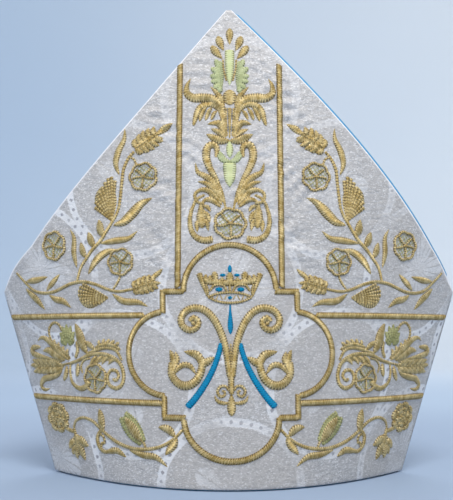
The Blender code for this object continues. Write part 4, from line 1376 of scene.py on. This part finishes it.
def make_lining():
    """A lens-shaped tube of blue cloth: down the outside, round the rim and up inside."""
    rows = 2 * LINING_ROWS + 2
    piece, u, v = fresh_grid("head_lining_cloth", LINING_COLUMNS, rows)
    turn = np.rint(u * LINING_COLUMNS) % LINING_COLUMNS
    row = np.rint(v * rows) % rows
    front = turn <= LINING_COLUMNS / 2
    quarters = 4 * turn / LINING_COLUMNS
    share = np.sin(np.where(front, quarters - 1, 3 - quarters) * np.pi / 2)
    outside = row <= LINING_ROWS
    climb = np.where(outside, row, rows - 1 - row) / LINING_ROWS
    height = SEAM_TOP * climb
    inset = LINING_INSET + np.where(outside, 0, LINING_WALL)
    slope = 2 * bow(height) * half_width(height)
    reach = half_width(height) - inset * np.sqrt(1 + slope ** 2) / slope
    x = share * reach
    easing = 0.5 + 0.5 * np.sin(x / 6.1 + 1.3 * np.sin(height / 19))
    easing = easing * np.sin(np.pi * np.clip(climb, 0, 1)) * smooth_step(0, 12, reach - abs(x))
    depth = inner_depth(x, height, inset + np.where(outside, 0, 0.9 * easing))
    y = np.where(front, -1, 1) * np.maximum(depth, 0)
    move_vertices(piece, np.column_stack((x, y, height)) * MM)
    close_seams(piece, CLOTH_WELD)
    finish_cloth(piece, "lining", "head_lining")


def make_valley():
    """The soft blue cloth between the horns, which sinks in loose folds."""
    piece, u, v = fresh_grid("crown_gusset_cloth", GUSSET_COLUMNS, GUSSET_ROWS)
    share = np.abs(2 * u - 1)
    first = SEAM_TOP + GUSSET_START
    edge_height = first + (PEAK - first) * (1 - share)
    left, right = (edge_reach(hand, edge_height) + GUSSET_LIP[hand] for hand in (-1, 1))
    x = np.where(u < 0.5, plan_x(-left, edge_height), plan_x(right, edge_height))
    x = x * smooth_step(-0.02, 0.02, share)
    place = 2 * v - 1
    ends = half_width(SEAM_TOP)
    floor = SEAM_TOP + VALLEY_LIFT + VALLEY_RISE * (1 - (x / ends) ** 2)
    height = floor + (edge_height - floor) * np.abs(place) ** VALLEY_DEPTH
    middle = np.sin(np.pi * v) ** 0.8 * smooth_step(0.0, 0.5, 1 - share)
    folds = 0.5 + 0.5 * np.sin(x / 5.2 + 2.1 * place + 1.4 * np.sin(x / 17))
    creases = 0.5 + 0.5 * np.sin(7.5 * place + x / 11)
    lift = VALLEY_FOLD * middle * (0.65 * folds ** 1.6 + 0.35 * creases)
    slack = 0.8 * np.sin(np.pi * v) ** 0.5 * creases * smooth_step(0.0, 0.2, 1 - share)
    depth = inner_depth(x, height, GUSSET_INSET + slack)
    y = np.sign(place) * np.maximum(depth, 0) * np.abs(place) ** VALLEY_SPREAD
    move_vertices(piece, np.column_stack((x, y, height + lift)) * MM)
    give_wall(piece, GUSSET_WALL * MM)
    finish_cloth(piece, "lining", "crown_gusset")


def give_wall(piece, thickness):
    """Thicken an open sheet upwards and inwards."""
    pick([piece])
    wall = piece.modifiers.new("wall", "SOLIDIFY")
    wall.thickness = thickness
    wall.offset = 1.0
    bpy.ops.object.modifier_apply(modifier="wall")
    bpy.ops.object.shade_smooth()


# ---- the tails -----------------------------------------------------------------------

def lappet_half_width(along):
    share = along / LAPPET_LENGTH
    return (LAPPET_WIDTH["sewn"] * (1 - share) + LAPPET_WIDTH["end"] * share) / 2


def lappet_profile(along):
    """Distance from the panel and height of the tail's middle."""
    drop = LAPPET_TOP - LAPPET_WALL / 2 - LAPPET_BEND
    quarter = LAPPET_BEND * math.pi / 2
    angle = np.clip((along - drop) / LAPPET_BEND, 0, math.pi / 2)
    out = LAPPET_BEND * (1 - np.cos(angle)) + np.maximum(0, along - drop - quarter)
    height = LAPPET_WALL / 2 + LAPPET_BEND * (1 - np.sin(angle)) + np.maximum(0, drop - along)
    return out, height


def lappet_ways(hand):
    """The ways in which a tail runs on the ground: away from the panel, and sideways."""
    foot, lifted = on_panel(np.array([hand * LAPPET_ACROSS] * 2), np.zeros(2),
                            np.array([0.0, 1.0]), BACK)
    away = (lifted - foot) / MM
    away = away / np.linalg.norm(away)
    return away, np.array((away[1], -away[0], 0.0))


def lappet_place(hand, sideways, along, lift):
    """Places on the tail, in mm: curved with the panel above, flat on the ground."""
    out, height = lappet_profile(along)
    hug = np.maximum(0, 1 - out / (2 * LAPPET_BEND))[:, None]
    away, beside = lappet_ways(hand)
    stand_off = np.full_like(sideways, GAP + LAPPET_WALL / 2)
    middle = np.full_like(sideways, hand * LAPPET_ACROSS)
    centre = on_panel(middle, height, stand_off, BACK) / MM
    curved = on_panel(middle + sideways, height, stand_off, BACK) / MM
    flat = centre + beside * sideways[:, None]
    place = flat * (1 - hug) + curved * hug + away * out[:, None]
    turn = np.clip(out / LAPPET_BEND, 0, 1)[:, None]
    outward = away * np.sqrt(1 - turn ** 2) + np.array((0, 0, 1.0)) * turn
    return place + outward * lift[:, None]


def make_lappet(hand):
    """A tail of brocade with turned edges, laid behind the mitre."""
    node = "lappet_" + HAND_NAMES[hand]
    piece, share, turn, v = walled_cloth(node + "_cloth", LAPPET_COLUMNS, LAPPET_ROWS,
                                         LAPPET_CAP_STEPS)
    radius = LAPPET_WALL / 2
    along = LAPPET_LENGTH * v
    sideways = turned_edge(share, turn, lappet_half_width(along), radius)
    level = np.rint(v * LAPPET_ROWS)
    opening = np.where((level == 0) | (level == LAPPET_ROWS), 0.0, 1.0)
    ripple = np.sin(along / 21 + hand) * np.sin(sideways / 9) * 0.12
    lift = radius * np.cos(turn) * opening
    lift = lift + np.where(np.cos(turn) > 0, np.minimum(ripple, 0), 0) * opening
    move_vertices(piece, lappet_place(hand, sideways, along, lift) * MM)
    lay_map(piece, sideways * MM, along * MM)
    close_seams(piece, CLOTH_WELD)
    finish_cloth(piece, "brocade", node)
    return piece


def make_lappet_braid(hand):
    """Satin bars down both edges of the tail and across its end."""
    node = "lappet_braid_" + HAND_NAMES[hand]
    last = LAPPET_LENGTH - LAPPET_EDGE
    down = np.linspace(LAPPET_BRAID_START, last + LAPPET_BRAID_LAP, LAPPET_BRAID_POINTS)
    lines = [[(end * (lappet_half_width(along) - LAPPET_EDGE), along) for along in down]
             for end in (-1, 1)]
    width = lappet_half_width(last) - LAPPET_EDGE + LAPPET_BRAID_LAP
    lines.append([(-width, last), (width, last)])
    piece = joined([bar("braid", points=line, straight=True, **LAPPET_BRAID) for line in lines],
                   node + "_stitched")
    across, along, lift = vertex_places(piece).T
    places = lappet_place(hand, across, along, lift + LAPPET_WALL / 2)
    sew_down(piece, places, node)
    return piece


def sew_down(piece, places, node):
    move_vertices(piece, places * MM)
    close_seams(piece, SEWN_WELD)
    hand_over(piece, node)


def make_fringe(hand):
    """Twisted gold cords hanging from a stitched head, laid flat beyond the tail's end."""
    node = "fringe_" + HAND_NAMES[hand]
    width = LAPPET_WIDTH["end"]
    pitch = width / FRINGE_CORDS
    half_head = FRINGE_HEAD / 2
    bars = [bar("braid", half_head, ((-width / 2, half_head), (width / 2, half_head)), rise=1.3)]
    for cord in range(FRINGE_CORDS):
        middle = -width / 2 + (cord + 0.5) * pitch
        sway = FRINGE_SWAY * math.sin(cord * 1.9)
        length = FRINGE_LENGTH - 0.5 * (1 + math.sin(cord * 2.7))
        bars.append(bar("beads", 0.58, ((middle, 2.0), (middle + sway, 12.0),
                                        (middle - sway, length)), rise=1.05))
    piece = joined(bars, node + "_cords")
    flat = vertex_places(piece)
    away, beside = lappet_ways(hand)
    end = lappet_place(hand, np.zeros(1), np.array([LAPPET_LENGTH]), np.zeros(1))[0]
    places = end + away * GAP + beside * flat[:, :1] + away * flat[:, 1:2]
    places[:, 2] = FRINGE_FLOOR + STITCH_SINK + flat[:, 2]
    sew_down(piece, places, node)
    return piece


def make_tails():
    for hand in (-1, 1):
        tail = make_lappet(hand)
        braid = make_lappet_braid(hand)
        fringe = make_fringe(hand)


# ---- camera, ground and light --------------------------------------------------------

CAMERA_PLACE = (-0.001549, -0.558, 0.095556)
CAMERA_TURN = (96.5306, 0.0, 0.0)      # degrees
CAMERA_LENS = 54.72
SENSOR_HEIGHT = 36.0
LIGHTS = (
    # name, place, aimed at, size, power in watts, colour
    ("window_light", (0.12, -0.78, 1.16), (0.0, 0.0, 0.2), 0.6, 11.0, (0.985, 0.985, 0.975)),
    ("fill_light", (-1.15, -1.0, 0.15), (-0.08, 0.0, 0.05), 1.0, 4.8, (1.0, 0.98, 0.94)),
    ("back_light", (0.2, 1.25, 1.15), (0.0, 0.1, 0.1), 1.2, 6.0, (1.0, 1.0, 1.0)),
)
SKY_COLOUR = (0.98, 0.98, 1.0, 1.0)
SKY_STRENGTH = 0.82

# The ground's flat middle, in metres, and radius and height of each ring round it
GROUND_RADIUS = 1.4
GROUND_SIDES = 96
GROUND_RINGS = ((1.9, 0.0), (2.25, 0.06), (2.5, 0.22), (2.66, 0.5), (2.74, 0.95), (2.76, 1.7))


def make_camera():
    data = bpy.data.cameras.new("camera")
    data.sensor_fit = "VERTICAL"
    data.sensor_height = SENSOR_HEIGHT
    data.lens = CAMERA_LENS
    camera = bpy.data.objects.new("camera", data)
    camera.location = CAMERA_PLACE
    camera.rotation_euler = [math.radians(angle) for angle in CAMERA_TURN]
    bpy.context.scene.collection.objects.link(camera)
    bpy.context.scene.camera = camera


def make_ground():
    """A pale round ground that curves up far away, all in one."""
    deselect()
    bpy.ops.mesh.primitive_circle_add(vertices=GROUND_SIDES, radius=GROUND_RADIUS,
                                      fill_type="NGON")
    ground = bpy.context.object
    ground.name = "ground"
    bpy.ops.object.mode_set(mode="EDIT")
    bpy.ops.mesh.select_all(action="SELECT")
    bpy.ops.mesh.select_mode(type="EDGE")
    bpy.ops.mesh.region_to_loop()
    radius, level = GROUND_RADIUS, 0.0
    for wide, high in GROUND_RINGS:
        bpy.ops.mesh.extrude_edges_move(
            TRANSFORM_OT_translate={"value": (0.0, 0.0, high - level)})
        bpy.ops.transform.resize(value=(wide / radius, wide / radius, 1.0))
        radius, level = wide, high
    bpy.ops.mesh.select_mode(type="FACE")
    bpy.ops.mesh.select_all(action="SELECT")
    bpy.ops.mesh.normals_make_consistent(inside=False)
    bpy.ops.object.mode_set(mode="OBJECT")
    bpy.ops.object.shade_smooth()
    ground.data.materials.append(ground_material())


def make_lights():
    for name, place, aim, size, power, colour in LIGHTS:
        data = bpy.data.lights.new(name, "AREA")
        data.shape = "DISK"
        data.size = size
        data.energy = power
        data.color = colour
        light = bpy.data.objects.new(name, data)
        light.location = place
        light.rotation_euler = (Vector(aim) - Vector(place)).to_track_quat("-Z", "Y").to_euler()
        bpy.context.scene.collection.objects.link(light)
    world = bpy.data.worlds.new("soft_sky")
    world.use_nodes = True
    sky = world.node_tree.nodes["Background"]
    sky.inputs[0].default_value = SKY_COLOUR
    sky.inputs[1].default_value = SKY_STRENGTH
    bpy.context.scene.world = world


make_camera()
make_ground()
make_lights()
bpy.context.scene.view_settings.view_transform = "Standard"
for panel_side in (FRONT, BACK):
    make_panel(panel_side)
make_lining()
make_valley()
flat_patterns = {name: joined(draw(), name, finish) for name, (draw, finish) in PATTERNS.items()}
for panel_side in (FRONT, BACK):
    embroider(flat_patterns, panel_side)
for flat_pattern in flat_patterns.values():
    bpy.data.objects.remove(flat_pattern, do_unlink=True)
make_tails()
